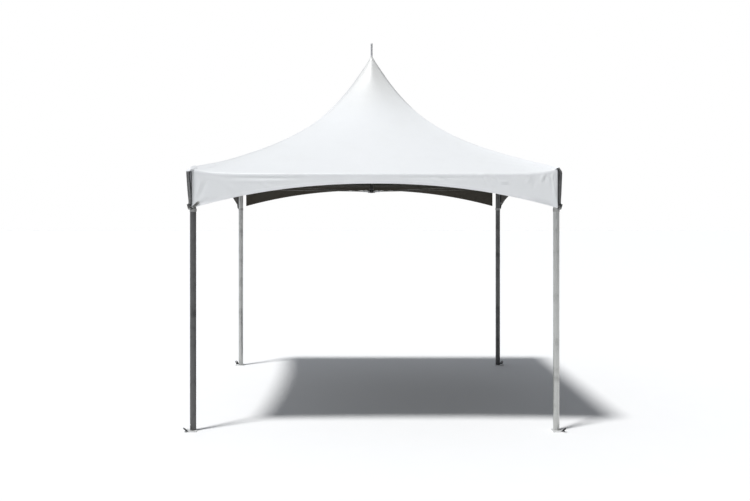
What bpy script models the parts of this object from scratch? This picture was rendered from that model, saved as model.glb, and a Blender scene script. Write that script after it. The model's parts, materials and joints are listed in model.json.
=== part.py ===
"""High-peak frame tent, 10 ft by 10 ft, with a cable-carried centre mast.

Metres, +Z up, origin on the ground at the middle of the four legs, front towards -Y.
Pieces of one corner are modelled at the back right corner and turned about Z for the other three.
"""
import math

import bmesh
import bpy
from mathutils import Matrix, Vector

# Clearance between pieces that touch
GAP = 0.0003

# Frame tubes
LEG = 1.4986
TUBE_R = 0.0254
TUBE_WALL = 0.0032
SPIGOT_R = TUBE_R - TUBE_WALL - GAP
SPIGOT_LENGTH = 0.09
EAVE_Z = 2.104
TUBE_SIDES = 20

# Corner fittings
ARM_LENGTH = 0.06
STEM_DOWN = 0.09
CORNER_RISE = 0.044
DOME_RISE = CORNER_RISE - 0.005
LUG_THICK = 0.006
LUG_HEIGHT = 0.026
LUG_HOLE_R = 0.0045
DOME_STEPS = 5
CROWN_PIN_REACH = 0.062
CROWN_PIN_DROP = 0.055

# Base plates
PLATE_SIDE = 0.1
PLATE_THICK = 0.006
PLATE_SHIFT = 0.012
PLATE_CORNER = 0.01
STAKE_HOLE_R = 0.011
STAKE_HOLE_INSET = 0.018
TIE_LUG_WIDTH = 0.032
TIE_LUG_LENGTH = 0.034
TIE_LUG_HOLE_R = 0.008
TIE_LUG_TILT = math.radians(45)
TIE_LUG_ROOT = 0.03

# Canopy: the cloth is a thicker solid here than the real sheet
SKIN = 0.004
WRAP_IN = TUBE_R + GAP
WRAP_OUT = WRAP_IN + SKIN
PEAK_Z = 3.353
TIP_R = 0.014
COLLAR_R = 0.042
SWEEP_LINEAR = 0.49
SWEEP_POWER = 3.2
SQUARENESS_AT_PEAK = 0.25
SQUARENESS_POWER = 0.7
RISE_FADE = 3
RISE_SHARPNESS = 12
EAVE_SLOPE = math.radians(25)
ROOF_HALF = LEG + WRAP_OUT * math.sin(EAVE_SLOPE)
EAVE_TOP_Z = EAVE_Z + WRAP_OUT * math.cos(EAVE_SLOPE)
HIP_END_Z = EAVE_TOP_Z + CORNER_RISE
ROOF_ROWS = 9
ROW_CROWDING = 1.3
HALF_COLUMNS = 9
COLLAR_LIFT = 0.0008
COLLAR_THICK = 0.0045

# Valances
SCOOP_MID_Z = 2.039
SCOOP_DROP = 0.2
SCOOP_HALF = 1.5
SCOOP_POWER = 2.15
SLIT_FRONT = LEG + 0.0064
SLIT_REAR = LEG - 0.058
WRAP_STEPS = 5
DROP_STEPS = 2

# Mast, its foot and the pin
MAST_R = 0.019
MAST_WALL = 0.003
MAST_PLUG_R = MAST_R - MAST_WALL - GAP
MAST_BOTTOM_Z = 2.03
MAST_TOP_Z = 3.27
FOOT_Z = 1.984
FOOT_R = 0.0145
FOOT_PIN_REACH = 0.04
FOOT_PIN_Z = 1.999
FOOT_FLANGE = 0.007
FOOT_NECK = 0.012
FOOT_CHAMFER = 0.002
CAP_R = 0.023
SHOULDER_R = 0.013
CAP_CLEARANCE = 0.0009
PIN_R = 0.0095
PIN_TOP_R = 0.0057
PIN_CHAMFER = 0.004
PIN_TOP_Z = 3.478

# Cables
ROPE_R = 0.003
FERRULE_R = 0.0065
TURNBUCKLE_R = 0.01
FORK_PIN_R = LUG_HOLE_R - GAP
FORK_CHEEK = 0.004
FORK_HEIGHT = 0.017
FORK_REACH = 0.028
FORK_THROAT = 0.017
FORK_PIN_PROUD = 0.002
FORK_GRIP = 0.004
LOWER_FERRULE_END = 0.08
UPPER_FERRULE_BACK = 0.27
TURNBUCKLE_BACK = 0.2
TURNBUCKLE_FRONT = 0.07
CABLE_SIDES = 10

# Corner straps, ratchets and leg loops
STRAP_WIDTH = 0.0508
STRAP_THICK = 0.003
STRAP_ON_ROOF = 0.022
STRAP_BEND = ((0.0305, 0.009), (0.0375, 0.024), (0.0395, 0.05), (0.034, 0.175))
STRAP_FOOT = 0.0293
LOOP_BOTTOM_Z = 1.806
LOOP_TOP_Z = 1.832
RATCHET_BOTTOM_Z = 1.824
RATCHET_TOP_Z = 1.874
RATCHET_WIDTH = 0.048
RATCHET_DEPTH = 0.018
RATCHET_PLATE = 0.004
RATCHET_CHEEK = 0.003
DRUM_R = 0.006
DRUM_PROUD = 0.002
HANDLE_THICK = 0.004

SIDES = ("front", "right", "back", "left")
CORNERS = ("back_right", "back_left", "front_left", "front_right")


def clear_scene():
    """Remove every object that is in the scene."""
    for ob in list(bpy.data.objects):
        bpy.data.objects.remove(ob, do_unlink=True)


def new_collection(name):
    """Add an empty collection to the scene."""
    collection = bpy.data.collections.new(name)
    bpy.context.scene.collection.children.link(collection)
    return collection


def new_material(name, color, roughness, metallic):
    """Make a Principled material."""
    material = bpy.data.materials.new(name)
    material.use_nodes = True
    shader = material.node_tree.nodes["Principled BSDF"]
    shader.inputs["Base Color"].default_value = (*color, 1.0)
    shader.inputs["Roughness"].default_value = roughness
    shader.inputs["Metallic"].default_value = metallic
    material.diffuse_color = (*color, 1.0)
    return material


def quarter_turn(index):
    """The turn about the tent's centre that carries corner or side 0 to another one."""
    return Matrix.Rotation(math.radians(90 * index), 4, "Z")


def add_piece(name, mesh, material, matrix=None):
    """Put a finished mesh into the tent's collection as a named piece."""
    ob = bpy.data.objects.new(name, mesh)
    tent.objects.link(ob)
    if matrix is not None:
        ob.matrix_world = matrix
    if not mesh.materials:
        mesh.materials.append(material)
    mesh.shade_smooth()
    mesh.set_sharp_from_angle(angle=math.radians(35))
    return ob


def add_guide(name, mesh):
    """Put a mesh into the collection of shapes that only build other shapes."""
    ob = bpy.data.objects.new(name, mesh)
    guides.objects.link(ob)
    ob.hide_render = True
    ob.display_type = "WIRE"
    return ob


def finished_mesh(ob, name):
    """Return an object's evaluated mesh and remove the object."""
    bpy.context.view_layer.update()
    depsgraph = bpy.context.evaluated_depsgraph_get()
    mesh = bpy.data.meshes.new_from_object(ob.evaluated_get(depsgraph))
    mesh.name = name
    bpy.data.objects.remove(ob, do_unlink=True)
    return mesh


def combined(name, base, unions=(), cuts=()):
    """Join meshes to a base mesh, then cut others out of it."""
    body = add_guide(name, base)
    operands = []
    for operation, meshes in (("UNION", unions), ("DIFFERENCE", cuts)):
        for mesh in meshes:
            operand = add_guide(name + "_operand", mesh)
            step = body.modifiers.new(operation.title(), "BOOLEAN")
            step.operation = operation
            step.solver = "EXACT"
            step.object = operand
            operands.append(operand)
    mesh = finished_mesh(body, name)
    for operand in operands:
        bpy.data.objects.remove(operand, do_unlink=True)
    return mesh


def turned(name, profile, sides, matrix=None, ring=False):
    """Turn a profile of (radius, height) points, outer side downwards, about Z."""
    points = [(radius, 0.0, height) for radius, height in profile]
    edges = [(i, i + 1) for i in range(len(points) - 1)]
    if ring:
        edges.append((len(points) - 1, 0))
    mesh = bpy.data.meshes.new(name)
    mesh.from_pydata(points, edges, [])
    ob = add_guide(name, mesh)
    screw = ob.modifiers.new("Turn", "SCREW")
    screw.steps = sides
    screw.render_steps = sides
    screw.use_merge_vertices = True
    screw.merge_threshold = 0.00001
    mesh = finished_mesh(ob, name)
    if matrix is not None:
        mesh.transform(matrix)
    return mesh


def tube(name, radius, wall, bottom, top, matrix=None):
    """A straight hollow tube along Z."""
    inner = radius - wall
    profile = [(radius, top), (radius, bottom), (inner, bottom), (inner, top)]
    return turned(name, profile, TUBE_SIDES, matrix, ring=True)


def box(name, size, center, matrix=None, bevel=0.0):
    """A box, with its upright edges rounded where a bevel is given."""
    bm = bmesh.new()
    bmesh.ops.create_cube(bm, size=1.0)
    bmesh.ops.scale(bm, vec=Vector(size), verts=bm.verts)
    if bevel:
        upright = [e for e in bm.edges if abs(e.verts[0].co.z - e.verts[1].co.z) > size[2] / 2]
        bmesh.ops.bevel(bm, geom=upright, offset=bevel, segments=3, profile=0.5, affect="EDGES")
    bmesh.ops.translate(bm, vec=Vector(center), verts=bm.verts)
    if matrix is not None:
        bmesh.ops.transform(bm, matrix=matrix, verts=bm.verts)
    mesh = bpy.data.meshes.new(name)
    bm.to_mesh(mesh)
    bm.free()
    return mesh


def cylinder(name, radius, length, center, matrix=None, sides=16, axis="Z"):
    """A closed cylinder along one axis."""
    turn = {"Z": Matrix(), "Y": Matrix.Rotation(math.pi / 2, 4, "X"), "X": Matrix.Rotation(math.pi / 2, 4, "Y")}
    place = Matrix.Translation(center) @ turn[axis]
    if matrix is not None:
        place = matrix @ place
    bm = bmesh.new()
    bmesh.ops.create_cone(bm, cap_ends=True, segments=sides, radius1=radius, radius2=radius,
                          depth=length, matrix=place)
    mesh = bpy.data.meshes.new(name)
    bm.to_mesh(mesh)
    bm.free()
    return mesh


def flat_piece(name, outline, thickness, matrix=None, upright=False):
    """A flat outline of given thickness about its own plane: lying in XY, or upright in XZ."""
    curve = bpy.data.curves.new(name, "CURVE")
    curve.dimensions = "2D"
    curve.fill_mode = "BOTH"
    curve.extrude = thickness / 2
    spline = curve.splines.new("POLY")
    spline.points.add(len(outline) - 1)
    for point, (x, y) in zip(spline.points, outline):
        point.co = (x, y, 0.0, 1.0)
    spline.use_cyclic_u = True
    ob = bpy.data.objects.new(name, curve)
    guides.objects.link(ob)
    mesh = finished_mesh(ob, name)
    bm = bmesh.new()
    bm.from_mesh(mesh)
    bmesh.ops.remove_doubles(bm, verts=bm.verts, dist=0.00001)
    bm.to_mesh(mesh)
    bm.free()
    if upright:
        mesh.transform(Matrix.Rotation(math.pi / 2, 4, "X"))
    if matrix is not None:
        mesh.transform(matrix)
    return mesh


def round_ended(start, end, half_width, steps=8):
    """An outline that runs from start to a round end about the point at end."""
    outline = [(start, half_width), (start, -half_width)]
    for i in range(steps + 1):
        angle = -math.pi / 2 + math.pi * i / steps
        outline.append((end + half_width * math.cos(angle), half_width * math.sin(angle)))
    return outline


def sheet_solid(name, outer, inner):
    """Close two matching grids of points, the cloth's outer and inner faces, into one solid."""
    rows, columns = len(outer), len(outer[0])
    bm = bmesh.new()
    top = [[bm.verts.new(point) for point in row] for row in outer]
    under = [[bm.verts.new(point) for point in row] for row in inner]
    for i in range(rows - 1):
        for j in range(columns - 1):
            bm.faces.new((top[i][j], top[i + 1][j], top[i + 1][j + 1], top[i][j + 1]))
            bm.faces.new((under[i][j], under[i][j + 1], under[i + 1][j + 1], under[i + 1][j]))
    for i in range(rows - 1):
        bm.faces.new((top[i][0], under[i][0], under[i + 1][0], top[i + 1][0]))
        bm.faces.new((top[i][-1], top[i + 1][-1], under[i + 1][-1], under[i][-1]))
    for j in range(columns - 1):
        bm.faces.new((top[0][j], top[0][j + 1], under[0][j + 1], under[0][j]))
        bm.faces.new((top[-1][j], under[-1][j], under[-1][j + 1], top[-1][j + 1]))
    bmesh.ops.recalc_face_normals(bm, faces=bm.faces)
    mesh = bpy.data.meshes.new(name)
    bm.to_mesh(mesh)
    bm.free()
    return mesh


def hip_z(reach):
    """Height of the hips where the level line is this far from the centre at mid panel."""
    left = 1.0 - reach / ROOF_HALF
    sweep = SWEEP_LINEAR * left + (1.0 - SWEEP_LINEAR) * left ** SWEEP_POWER
    return HIP_END_Z + (PEAK_Z - HIP_END_Z) * sweep


def hip_slope(reach):
    """Fall of the hip line for each metre that the level line moves out."""
    left = 1.0 - reach / ROOF_HALF
    sweep = SWEEP_LINEAR + (1.0 - SWEEP_LINEAR) * SWEEP_POWER * left ** (SWEEP_POWER - 1.0)
    return (PEAK_Z - HIP_END_Z) / ROOF_HALF * sweep


def level_radius(reach, spread):
    """Distance from the centre to a level line, whose form goes from round to square."""
    squareness = SQUARENESS_AT_PEAK
    squareness += (1.0 - SQUARENESS_AT_PEAK) * (reach / ROOF_HALF) ** SQUARENESS_POWER
    return reach * ((1.0 - squareness) + squareness * spread)


def panel_slope(reach):
    """Slope of the panel's middle line, as an angle."""
    sag_slope = CORNER_RISE / ROOF_HALF * RISE_FADE * (reach / ROOF_HALF) ** (RISE_FADE - 1)
    return math.atan(hip_slope(reach) + sag_slope)


def roof_point(reach, across, thickness=0.0):
    """A point of the front panel: across runs from -1 at one hip to 1 at the other."""
    spread = math.hypot(1.0, across)
    depth = level_radius(reach, spread) / spread
    sag = CORNER_RISE * (reach / ROOF_HALF) ** RISE_FADE * (1.0 - abs(across) ** RISE_SHARPNESS)
    depth -= thickness * math.sin(panel_slope(reach))
    height = hip_z(reach) - sag - thickness * math.cos(panel_slope(reach))
    return (depth * across - GAP * across, -depth, height)


def roof_reaches():
    """Where the rows of a roof panel lie, from the tip to the eave."""
    reaches = [TIP_R, COLLAR_R]
    for i in range(1, ROOF_ROWS):
        reaches.append(COLLAR_R + (ROOF_HALF - COLLAR_R) * (i / (ROOF_ROWS - 1)) ** ROW_CROWDING)
    return reaches


def cloth_columns():
    """Places across a panel from -1 to 1, closer together towards the hips."""
    return [math.sin(math.pi / 2 * j / HALF_COLUMNS) for j in range(-HALF_COLUMNS, HALF_COLUMNS + 1)]


def roof_mesh():
    """The front roof panel, from the tip to the line where the cloth meets the eave tube."""
    columns = cloth_columns()
    outer = [[roof_point(reach, across) for across in columns] for reach in roof_reaches()]
    inner = [[roof_point(reach, across, SKIN) for across in columns] for reach in roof_reaches()]
    return sheet_solid("roof_panel", outer, inner)


def scoop_z(x):
    """Height of the valance's lower edge."""
    return SCOOP_MID_Z - SCOOP_DROP * (abs(x) / SCOOP_HALF) ** SCOOP_POWER


def valance_column(x, radius):
    """Points down the cloth at one place along the eave: round the tube, then straight down."""
    center_z = EAVE_Z + CORNER_RISE * min(abs(x) / ROOF_HALF, 1.0) ** RISE_SHARPNESS
    start = EAVE_SLOPE + GAP / WRAP_OUT
    points = []
    for i in range(WRAP_STEPS + 1):
        angle = start + (math.pi / 2 - start) * i / WRAP_STEPS
        points.append((x, -LEG - radius * math.sin(angle), center_z + radius * math.cos(angle)))
    for i in range(1, DROP_STEPS + 1):
        height = center_z + (scoop_z(x) - center_z) * i / DROP_STEPS
        points.append((x, -LEG - radius, height))
    return points


def valance_mesh(start, end):
    """The front valance strip between two places along the eave."""
    columns = [ROOF_HALF * across for across in cloth_columns()]
    places = [start] + [x for x in columns if start < x < end] + [end]
    outer = list(zip(*[valance_column(x, WRAP_OUT) for x in places]))
    inner = list(zip(*[valance_column(x, WRAP_IN) for x in places]))
    return sheet_solid("valance", outer, inner)


def make_canopy():
    """Four roof panels and four valances."""
    panel = roof_mesh()
    slits = {"front": (-SLIT_FRONT, SLIT_FRONT), "right": (-SLIT_FRONT, SLIT_REAR),
             "back": (-SLIT_REAR, SLIT_REAR), "left": (-SLIT_REAR, SLIT_FRONT)}
    for index, side in enumerate(SIDES):
        add_piece("roof_panel_" + side, panel, vinyl, quarter_turn(index))
        start, end = slits[side]
        add_piece("valance_" + side, valance_mesh(start, end), vinyl, quarter_turn(index))


def collar_line(radius):
    """Height of the hips between the tip and the collar's rim, by distance from the axis."""
    low = level_radius(TIP_R, math.sqrt(2))
    high = level_radius(COLLAR_R, math.sqrt(2))
    part = (radius - low) / (high - low)
    return hip_z(TIP_R) * (1.0 - part) + hip_z(COLLAR_R) * part


def make_collar():
    """The reinforcing collar that closes the four panels round the pin."""
    neck = TIP_R
    rim = COLLAR_R * 0.9
    bore = PIN_R + GAP
    inner_neck = collar_line(neck) + COLLAR_LIFT
    inner_rim = collar_line(rim) + COLLAR_LIFT
    profile = [
        (bore, inner_neck + COLLAR_THICK),
        (neck, inner_neck + COLLAR_THICK),
        (rim, inner_rim + COLLAR_THICK),
        (rim, inner_rim),
        (neck, inner_neck),
        (bore, inner_neck),
    ]
    add_piece("peak_collar", turned("peak_collar", profile, TUBE_SIDES, ring=True), vinyl)


def under_line(radius):
    """Height of the cloth's inner face near the tip, at mid panel, by distance from the axis."""
    tip = roof_point(TIP_R, 0.0, SKIN)
    rim = roof_point(COLLAR_R, 0.0, SKIN)
    part = (radius + tip[1]) / (tip[1] - rim[1])
    return tip[2] * (1.0 - part) + rim[2] * part


def make_mast():
    """The floating mast, the pin on its top and the foot that the cables carry."""
    add_piece("mast", tube("mast", MAST_R, MAST_WALL, MAST_BOTTOM_Z + GAP, MAST_TOP_Z), alloy)
    shoulder_z = under_line(SHOULDER_R) - CAP_CLEARANCE
    profile = [
        (0.0, PIN_TOP_Z),
        (PIN_TOP_R, PIN_TOP_Z),
        (PIN_R, PIN_TOP_Z - PIN_CHAMFER),
        (PIN_R, shoulder_z),
        (SHOULDER_R, shoulder_z),
        (CAP_R, under_line(CAP_R) - CAP_CLEARANCE),
        (CAP_R, MAST_TOP_Z + GAP),
        (MAST_PLUG_R, MAST_TOP_Z + GAP),
        (MAST_PLUG_R, MAST_TOP_Z - SPIGOT_LENGTH),
        (0.0, MAST_TOP_Z - SPIGOT_LENGTH),
    ]
    add_piece("peak_pin", turned("peak_pin", profile, TUBE_SIDES), steel)
    profile = [
        (0.0, MAST_BOTTOM_Z + SPIGOT_LENGTH),
        (MAST_PLUG_R, MAST_BOTTOM_Z + SPIGOT_LENGTH),
        (MAST_PLUG_R, MAST_BOTTOM_Z),
        (MAST_R, MAST_BOTTOM_Z),
        (MAST_R, MAST_BOTTOM_Z - FOOT_FLANGE),
        (FOOT_R, MAST_BOTTOM_Z - FOOT_NECK),
        (FOOT_R, FOOT_Z + FOOT_CHAMFER),
        (FOOT_R - FOOT_CHAMFER, FOOT_Z),
        (0.0, FOOT_Z),
    ]
    core = turned("mast_foot", profile, TUBE_SIDES)
    plates = []
    holes = []
    for index in range(4):
        turn = Matrix.Rotation(math.radians(45 + 90 * index), 4, "Z")
        plate, hole = lug_plate(FOOT_PIN_REACH, FOOT_PIN_Z, turn)
        plates.append(plate)
        holes.append(hole)
    add_piece("mast_foot", combined("mast_foot", core, plates, holes), steel)


def lug_plate(reach, height, matrix):
    """An upright lug plate along +X with a round end, and the cutter of its cross hole."""
    raised = matrix @ Matrix.Translation((0.0, 0.0, height))
    plate = flat_piece("lug_plate", round_ended(0.0, reach, LUG_HEIGHT / 2), LUG_THICK, raised, upright=True)
    hole = cylinder("lug_hole", LUG_HOLE_R, LUG_THICK * 3, (reach, 0.0, 0.0), raised, axis="Y", sides=12)
    return plate, hole


def make_crowns():
    """Corner fittings: a domed stem, two eave arms and the lug for the cable."""
    corner = Matrix.Translation((LEG, LEG, EAVE_Z))
    dome = []
    for i in range(DOME_STEPS):
        angle = math.pi / 2 * i / DOME_STEPS
        dome.append((TUBE_R * math.sin(angle), DOME_RISE + TUBE_R * math.cos(angle)))
    stem_profile = dome + [
        (TUBE_R, DOME_RISE),
        (TUBE_R, -STEM_DOWN),
        (SPIGOT_R, -STEM_DOWN),
        (SPIGOT_R, -STEM_DOWN - SPIGOT_LENGTH),
        (0.0, -STEM_DOWN - SPIGOT_LENGTH),
    ]
    arm_profile = [
        (0.0, 0.0),
        (TUBE_R, 0.0),
        (TUBE_R, -ARM_LENGTH),
        (SPIGOT_R, -ARM_LENGTH),
        (SPIGOT_R, -ARM_LENGTH - SPIGOT_LENGTH),
        (0.0, -ARM_LENGTH - SPIGOT_LENGTH),
    ]
    stem = turned("crown_stem", stem_profile, TUBE_SIDES, corner)
    arm_x = turned("crown_arm_x", arm_profile, TUBE_SIDES, corner @ Matrix.Rotation(math.pi / 2, 4, "Y"))
    arm_y = turned("crown_arm_y", arm_profile, TUBE_SIDES, corner @ Matrix.Rotation(-math.pi / 2, 4, "X"))
    inwards = corner @ Matrix.Rotation(math.radians(225), 4, "Z")
    plate, hole = lug_plate(CROWN_PIN_REACH, -CROWN_PIN_DROP, inwards)
    crown = combined("corner_crown", stem, (arm_x, arm_y, plate), (hole,))
    for index, name in enumerate(CORNERS):
        add_piece("corner_crown_" + name, crown, steel, quarter_turn(index))


def make_tubes():
    """Four legs and four eave tubes."""
    bottom = PLATE_THICK + GAP
    top = EAVE_Z - STEM_DOWN - GAP
    leg = tube("leg", TUBE_R, TUBE_WALL, bottom, top, Matrix.Translation((LEG, LEG, 0.0)))
    for index, name in enumerate(CORNERS):
        add_piece("leg_" + name, leg, alloy, quarter_turn(index))
    half = LEG - ARM_LENGTH - GAP
    along_x = Matrix.Translation((0.0, -LEG, EAVE_Z)) @ Matrix.Rotation(math.pi / 2, 4, "Y")
    eave = tube("eave_tube", TUBE_R, TUBE_WALL, -half, half, along_x)
    for index, side in enumerate(SIDES):
        add_piece("eave_tube_" + side, eave, alloy, quarter_turn(index))


def make_base_plates():
    """Base plates with a stub for the leg, two stake holes and a bent-up tie lug."""
    place = Matrix.Translation((LEG, LEG, 0.0))
    size = (PLATE_SIDE, PLATE_SIDE, PLATE_THICK)
    plate = box("base_plate", size, (PLATE_SHIFT, PLATE_SHIFT, PLATE_THICK / 2), place, PLATE_CORNER)
    stub_length = PLATE_THICK / 2 + SPIGOT_LENGTH
    stub = cylinder("stub", SPIGOT_R, stub_length, (0.0, 0.0, PLATE_THICK / 2 + stub_length / 2), place,
                    sides=TUBE_SIDES)
    edge = PLATE_SHIFT + PLATE_SIDE / 2
    outwards = place @ Matrix.Rotation(math.radians(45), 4, "Z")
    root = Matrix.Translation((edge * math.sqrt(2) - TIE_LUG_ROOT, 0.0, PLATE_THICK / 2))
    tilt = outwards @ root @ Matrix.Rotation(-TIE_LUG_TILT, 4, "Y")
    lug = flat_piece("tie_lug", round_ended(0.0, TIE_LUG_LENGTH, TIE_LUG_WIDTH / 2), PLATE_THICK, tilt)
    lug_hole = cylinder("tie_lug_hole", TIE_LUG_HOLE_R, PLATE_THICK * 3, (TIE_LUG_LENGTH, 0.0, 0.0), tilt)
    below = box("ground_cut", (0.4, 0.4, 0.1), (0.0, 0.0, -0.05), place)
    far = edge - STAKE_HOLE_INSET
    near = PLATE_SHIFT - PLATE_SIDE / 2 + STAKE_HOLE_INSET
    holes = [cylinder("stake_hole", STAKE_HOLE_R, PLATE_THICK * 4, (x, y, 0.0), place)
             for x, y in ((far, near), (near, far))]
    base = combined("base_plate", plate, (stub, lug), (below, lug_hole, *holes))
    for index, name in enumerate(CORNERS):
        add_piece("base_plate_" + name, base, steel, quarter_turn(index))


def fork_meshes(matrix):
    """A fork that straddles a lug at the origin, and the pin through both."""
    inner = LUG_THICK / 2 + GAP
    outer = inner + FORK_CHEEK
    tip = -FORK_HEIGHT / 2
    outline = [(tip, inner), (tip, outer), (FORK_REACH, outer), (FORK_REACH, -outer),
               (tip, -outer), (tip, -inner), (FORK_THROAT, -inner), (FORK_THROAT, inner)]
    fork = flat_piece("fork", outline, FORK_HEIGHT, matrix)
    pin_length = 2 * (outer + FORK_PIN_PROUD)
    pin = cylinder("fork_pin", FORK_PIN_R, pin_length, (0.0, 0.0, 0.0), matrix, axis="Y", sides=12)
    return fork, pin


def make_cables():
    """Cross cables from the mast foot to the crowns: fork, rope, turnbuckle, fork."""
    diagonal = Vector((1.0, 1.0, 0.0)).normalized()
    start = diagonal * FOOT_PIN_REACH + Vector((0.0, 0.0, FOOT_PIN_Z))
    end = diagonal * (LEG * math.sqrt(2) - CROWN_PIN_REACH) + Vector((0.0, 0.0, EAVE_Z - CROWN_PIN_DROP))
    length = (end - start).length
    rise = math.asin((end.z - start.z) / length)
    along = Matrix.Translation(start) @ Matrix.Rotation(math.radians(45), 4, "Z")
    along = along @ Matrix.Rotation(-rise, 4, "Y")
    grip = FORK_REACH - FORK_GRIP
    stations = [
        (FERRULE_R, grip, LOWER_FERRULE_END),
        (ROPE_R, LOWER_FERRULE_END, length - UPPER_FERRULE_BACK),
        (FERRULE_R, length - UPPER_FERRULE_BACK, length - TURNBUCKLE_BACK),
        (TURNBUCKLE_R, length - TURNBUCKLE_BACK, length - TURNBUCKLE_FRONT),
        (FERRULE_R, length - TURNBUCKLE_FRONT, length - grip),
    ]
    profile = [(0.0, stations[-1][2])]
    for radius, low, high in reversed(stations):
        profile.append((radius, high))
        profile.append((radius, low))
    profile.append((0.0, stations[0][1]))
    rope = turned("cable", profile, CABLE_SIDES, along @ Matrix.Rotation(math.pi / 2, 4, "Y"))
    facing_back = along @ Matrix.Translation((length, 0.0, 0.0)) @ Matrix.Rotation(math.pi, 4, "Z")
    unions = (*fork_meshes(along), *fork_meshes(facing_back))
    cable = combined("cable", rope, unions)
    for index, name in enumerate(CORNERS):
        add_piece("cable_" + name, cable, steel, quarter_turn(index))


def strap_path():
    """The strap's inner face in the corner's diagonal plane, as (outwards from the leg, height)."""
    roof_end = hip_z(LEG - STRAP_ON_ROOF / math.sqrt(2))
    corner = (ROOF_HALF - LEG) * math.sqrt(2)
    path = [(-STRAP_ON_ROOF, roof_end + 0.0008), (corner + 0.001, HIP_END_Z + 0.0012)]
    path.extend((outwards, HIP_END_Z - drop) for outwards, drop in STRAP_BEND)
    path.append((STRAP_FOOT, RATCHET_TOP_Z + GAP))
    return path


def offset_path(path, distance):
    """Move a path outwards, each point along the mean normal of its two runs."""
    moved = []
    for i, (x, z) in enumerate(path):
        before, after = path[max(i - 1, 0)], path[min(i + 1, len(path) - 1)]
        run = Vector((after[0] - before[0], after[1] - before[1])).normalized()
        moved.append((x - run.y * distance, z + run.x * distance))
    return moved


def make_straps():
    """Corner straps, the ratchets that tension them and the loops round the legs."""
    path = strap_path()
    outwards = Matrix.Translation((LEG, LEG, 0.0)) @ Matrix.Rotation(math.radians(45), 4, "Z")
    half = STRAP_WIDTH / 2
    grids = []
    for line in (offset_path(path, STRAP_THICK), path):
        grids.append([[outwards @ Vector((x, y, z)) for y in (-half, half)] for x, z in line])
    strap = sheet_solid("corner_strap", *grids)
    loop = tube("leg_loop", TUBE_R + GAP + STRAP_THICK, STRAP_THICK, LOOP_BOTTOM_Z, LOOP_TOP_Z,
                Matrix.Translation((LEG, LEG, 0.0)))
    back = TUBE_R + 2 * GAP + STRAP_THICK
    height = RATCHET_TOP_Z - RATCHET_BOTTOM_Z
    middle_z = (RATCHET_TOP_Z + RATCHET_BOTTOM_Z) / 2
    base = box("ratchet", (RATCHET_PLATE, RATCHET_WIDTH, height), (back + RATCHET_PLATE / 2, 0.0, middle_z),
               outwards)
    parts = []
    for side in (-1, 1):
        center = (back + 0.001 + RATCHET_DEPTH / 2, side * (RATCHET_WIDTH / 2 - RATCHET_CHEEK), middle_z)
        parts.append(box("ratchet_cheek", (RATCHET_DEPTH, RATCHET_CHEEK, height * 0.7), center, outwards))
    drum = (back + RATCHET_DEPTH * 0.6, 0.0, middle_z)
    drum_length = RATCHET_WIDTH + 2 * DRUM_PROUD
    parts.append(cylinder("ratchet_drum", DRUM_R, drum_length, drum, outwards, axis="Y"))
    handle = (back + RATCHET_DEPTH * 0.85, 0.0, middle_z + 0.002)
    parts.append(box("ratchet_handle", (HANDLE_THICK, RATCHET_WIDTH * 0.8, height * 0.8), handle, outwards))
    ratchet = combined("ratchet", base, parts)
    for index, name in enumerate(CORNERS):
        turn = quarter_turn(index)
        add_piece("corner_strap_" + name, strap, webbing, turn)
        add_piece("leg_loop_" + name, loop, webbing, turn)
        add_piece("ratchet_" + name, ratchet, dark_steel, turn)


clear_scene()
tent = new_collection("frame_tent")
guides = new_collection("frame_tent_guides")
vinyl = new_material("white_vinyl", (0.86, 0.87, 0.88), 0.45, 0.0)
alloy = new_material("mill_aluminium", (0.60, 0.60, 0.58), 0.38, 1.0)
steel = new_material("galvanised_steel", (0.42, 0.42, 0.41), 0.5, 1.0)
dark_steel = new_material("dark_steel", (0.06, 0.06, 0.06), 0.5, 1.0)
webbing = new_material("black_webbing", (0.02, 0.02, 0.022), 0.8, 0.0)
make_canopy()
make_collar()
make_mast()
make_crowns()
make_tubes()
make_base_plates()
make_cables()
make_straps()
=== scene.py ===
import json
import math
import random

import bmesh
import bpy
from mathutils import Matrix, Vector, noise
from mathutils.bvhtree import BVHTree

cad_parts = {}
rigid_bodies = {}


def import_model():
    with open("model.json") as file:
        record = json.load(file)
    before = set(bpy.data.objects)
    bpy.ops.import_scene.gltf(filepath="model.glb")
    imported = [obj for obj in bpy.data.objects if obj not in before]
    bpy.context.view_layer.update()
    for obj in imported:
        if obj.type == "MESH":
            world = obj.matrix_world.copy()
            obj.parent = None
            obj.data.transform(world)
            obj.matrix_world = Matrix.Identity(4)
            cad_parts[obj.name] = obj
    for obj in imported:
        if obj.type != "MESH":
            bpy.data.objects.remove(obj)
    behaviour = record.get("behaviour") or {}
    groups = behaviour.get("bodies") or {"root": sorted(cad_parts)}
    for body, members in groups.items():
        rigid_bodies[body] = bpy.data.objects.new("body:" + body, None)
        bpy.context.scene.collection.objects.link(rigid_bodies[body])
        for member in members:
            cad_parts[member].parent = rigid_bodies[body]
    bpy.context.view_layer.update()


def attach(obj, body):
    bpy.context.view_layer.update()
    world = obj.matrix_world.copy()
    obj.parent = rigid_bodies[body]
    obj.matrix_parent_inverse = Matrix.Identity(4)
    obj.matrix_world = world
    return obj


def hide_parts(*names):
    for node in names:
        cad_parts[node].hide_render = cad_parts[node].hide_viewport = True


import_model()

# Frame: the same sizes as the CAD parts, in metres, and the clearance where parts fit together
LEG = 1.4986
TUBE_R = 0.0254
TUBE_WALL = 0.0032
BORE_R = TUBE_R - TUBE_WALL
FIT = 0.0003
EAVE_Z = 2.104
ARM_LENGTH = 0.06
STEM_DOWN = 0.09
CORNER_RISE = 0.044
DOME_RISE = 0.039
CROWN_PIN_REACH = 0.062
CROWN_PIN_Z = EAVE_Z - 0.055
FOOT_PIN_REACH = 0.04
FOOT_PIN_Z = 1.999
LUG_THICK = 0.006
LUG_HALF = 0.013
LUG_HOLE_R = 0.0045

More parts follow.
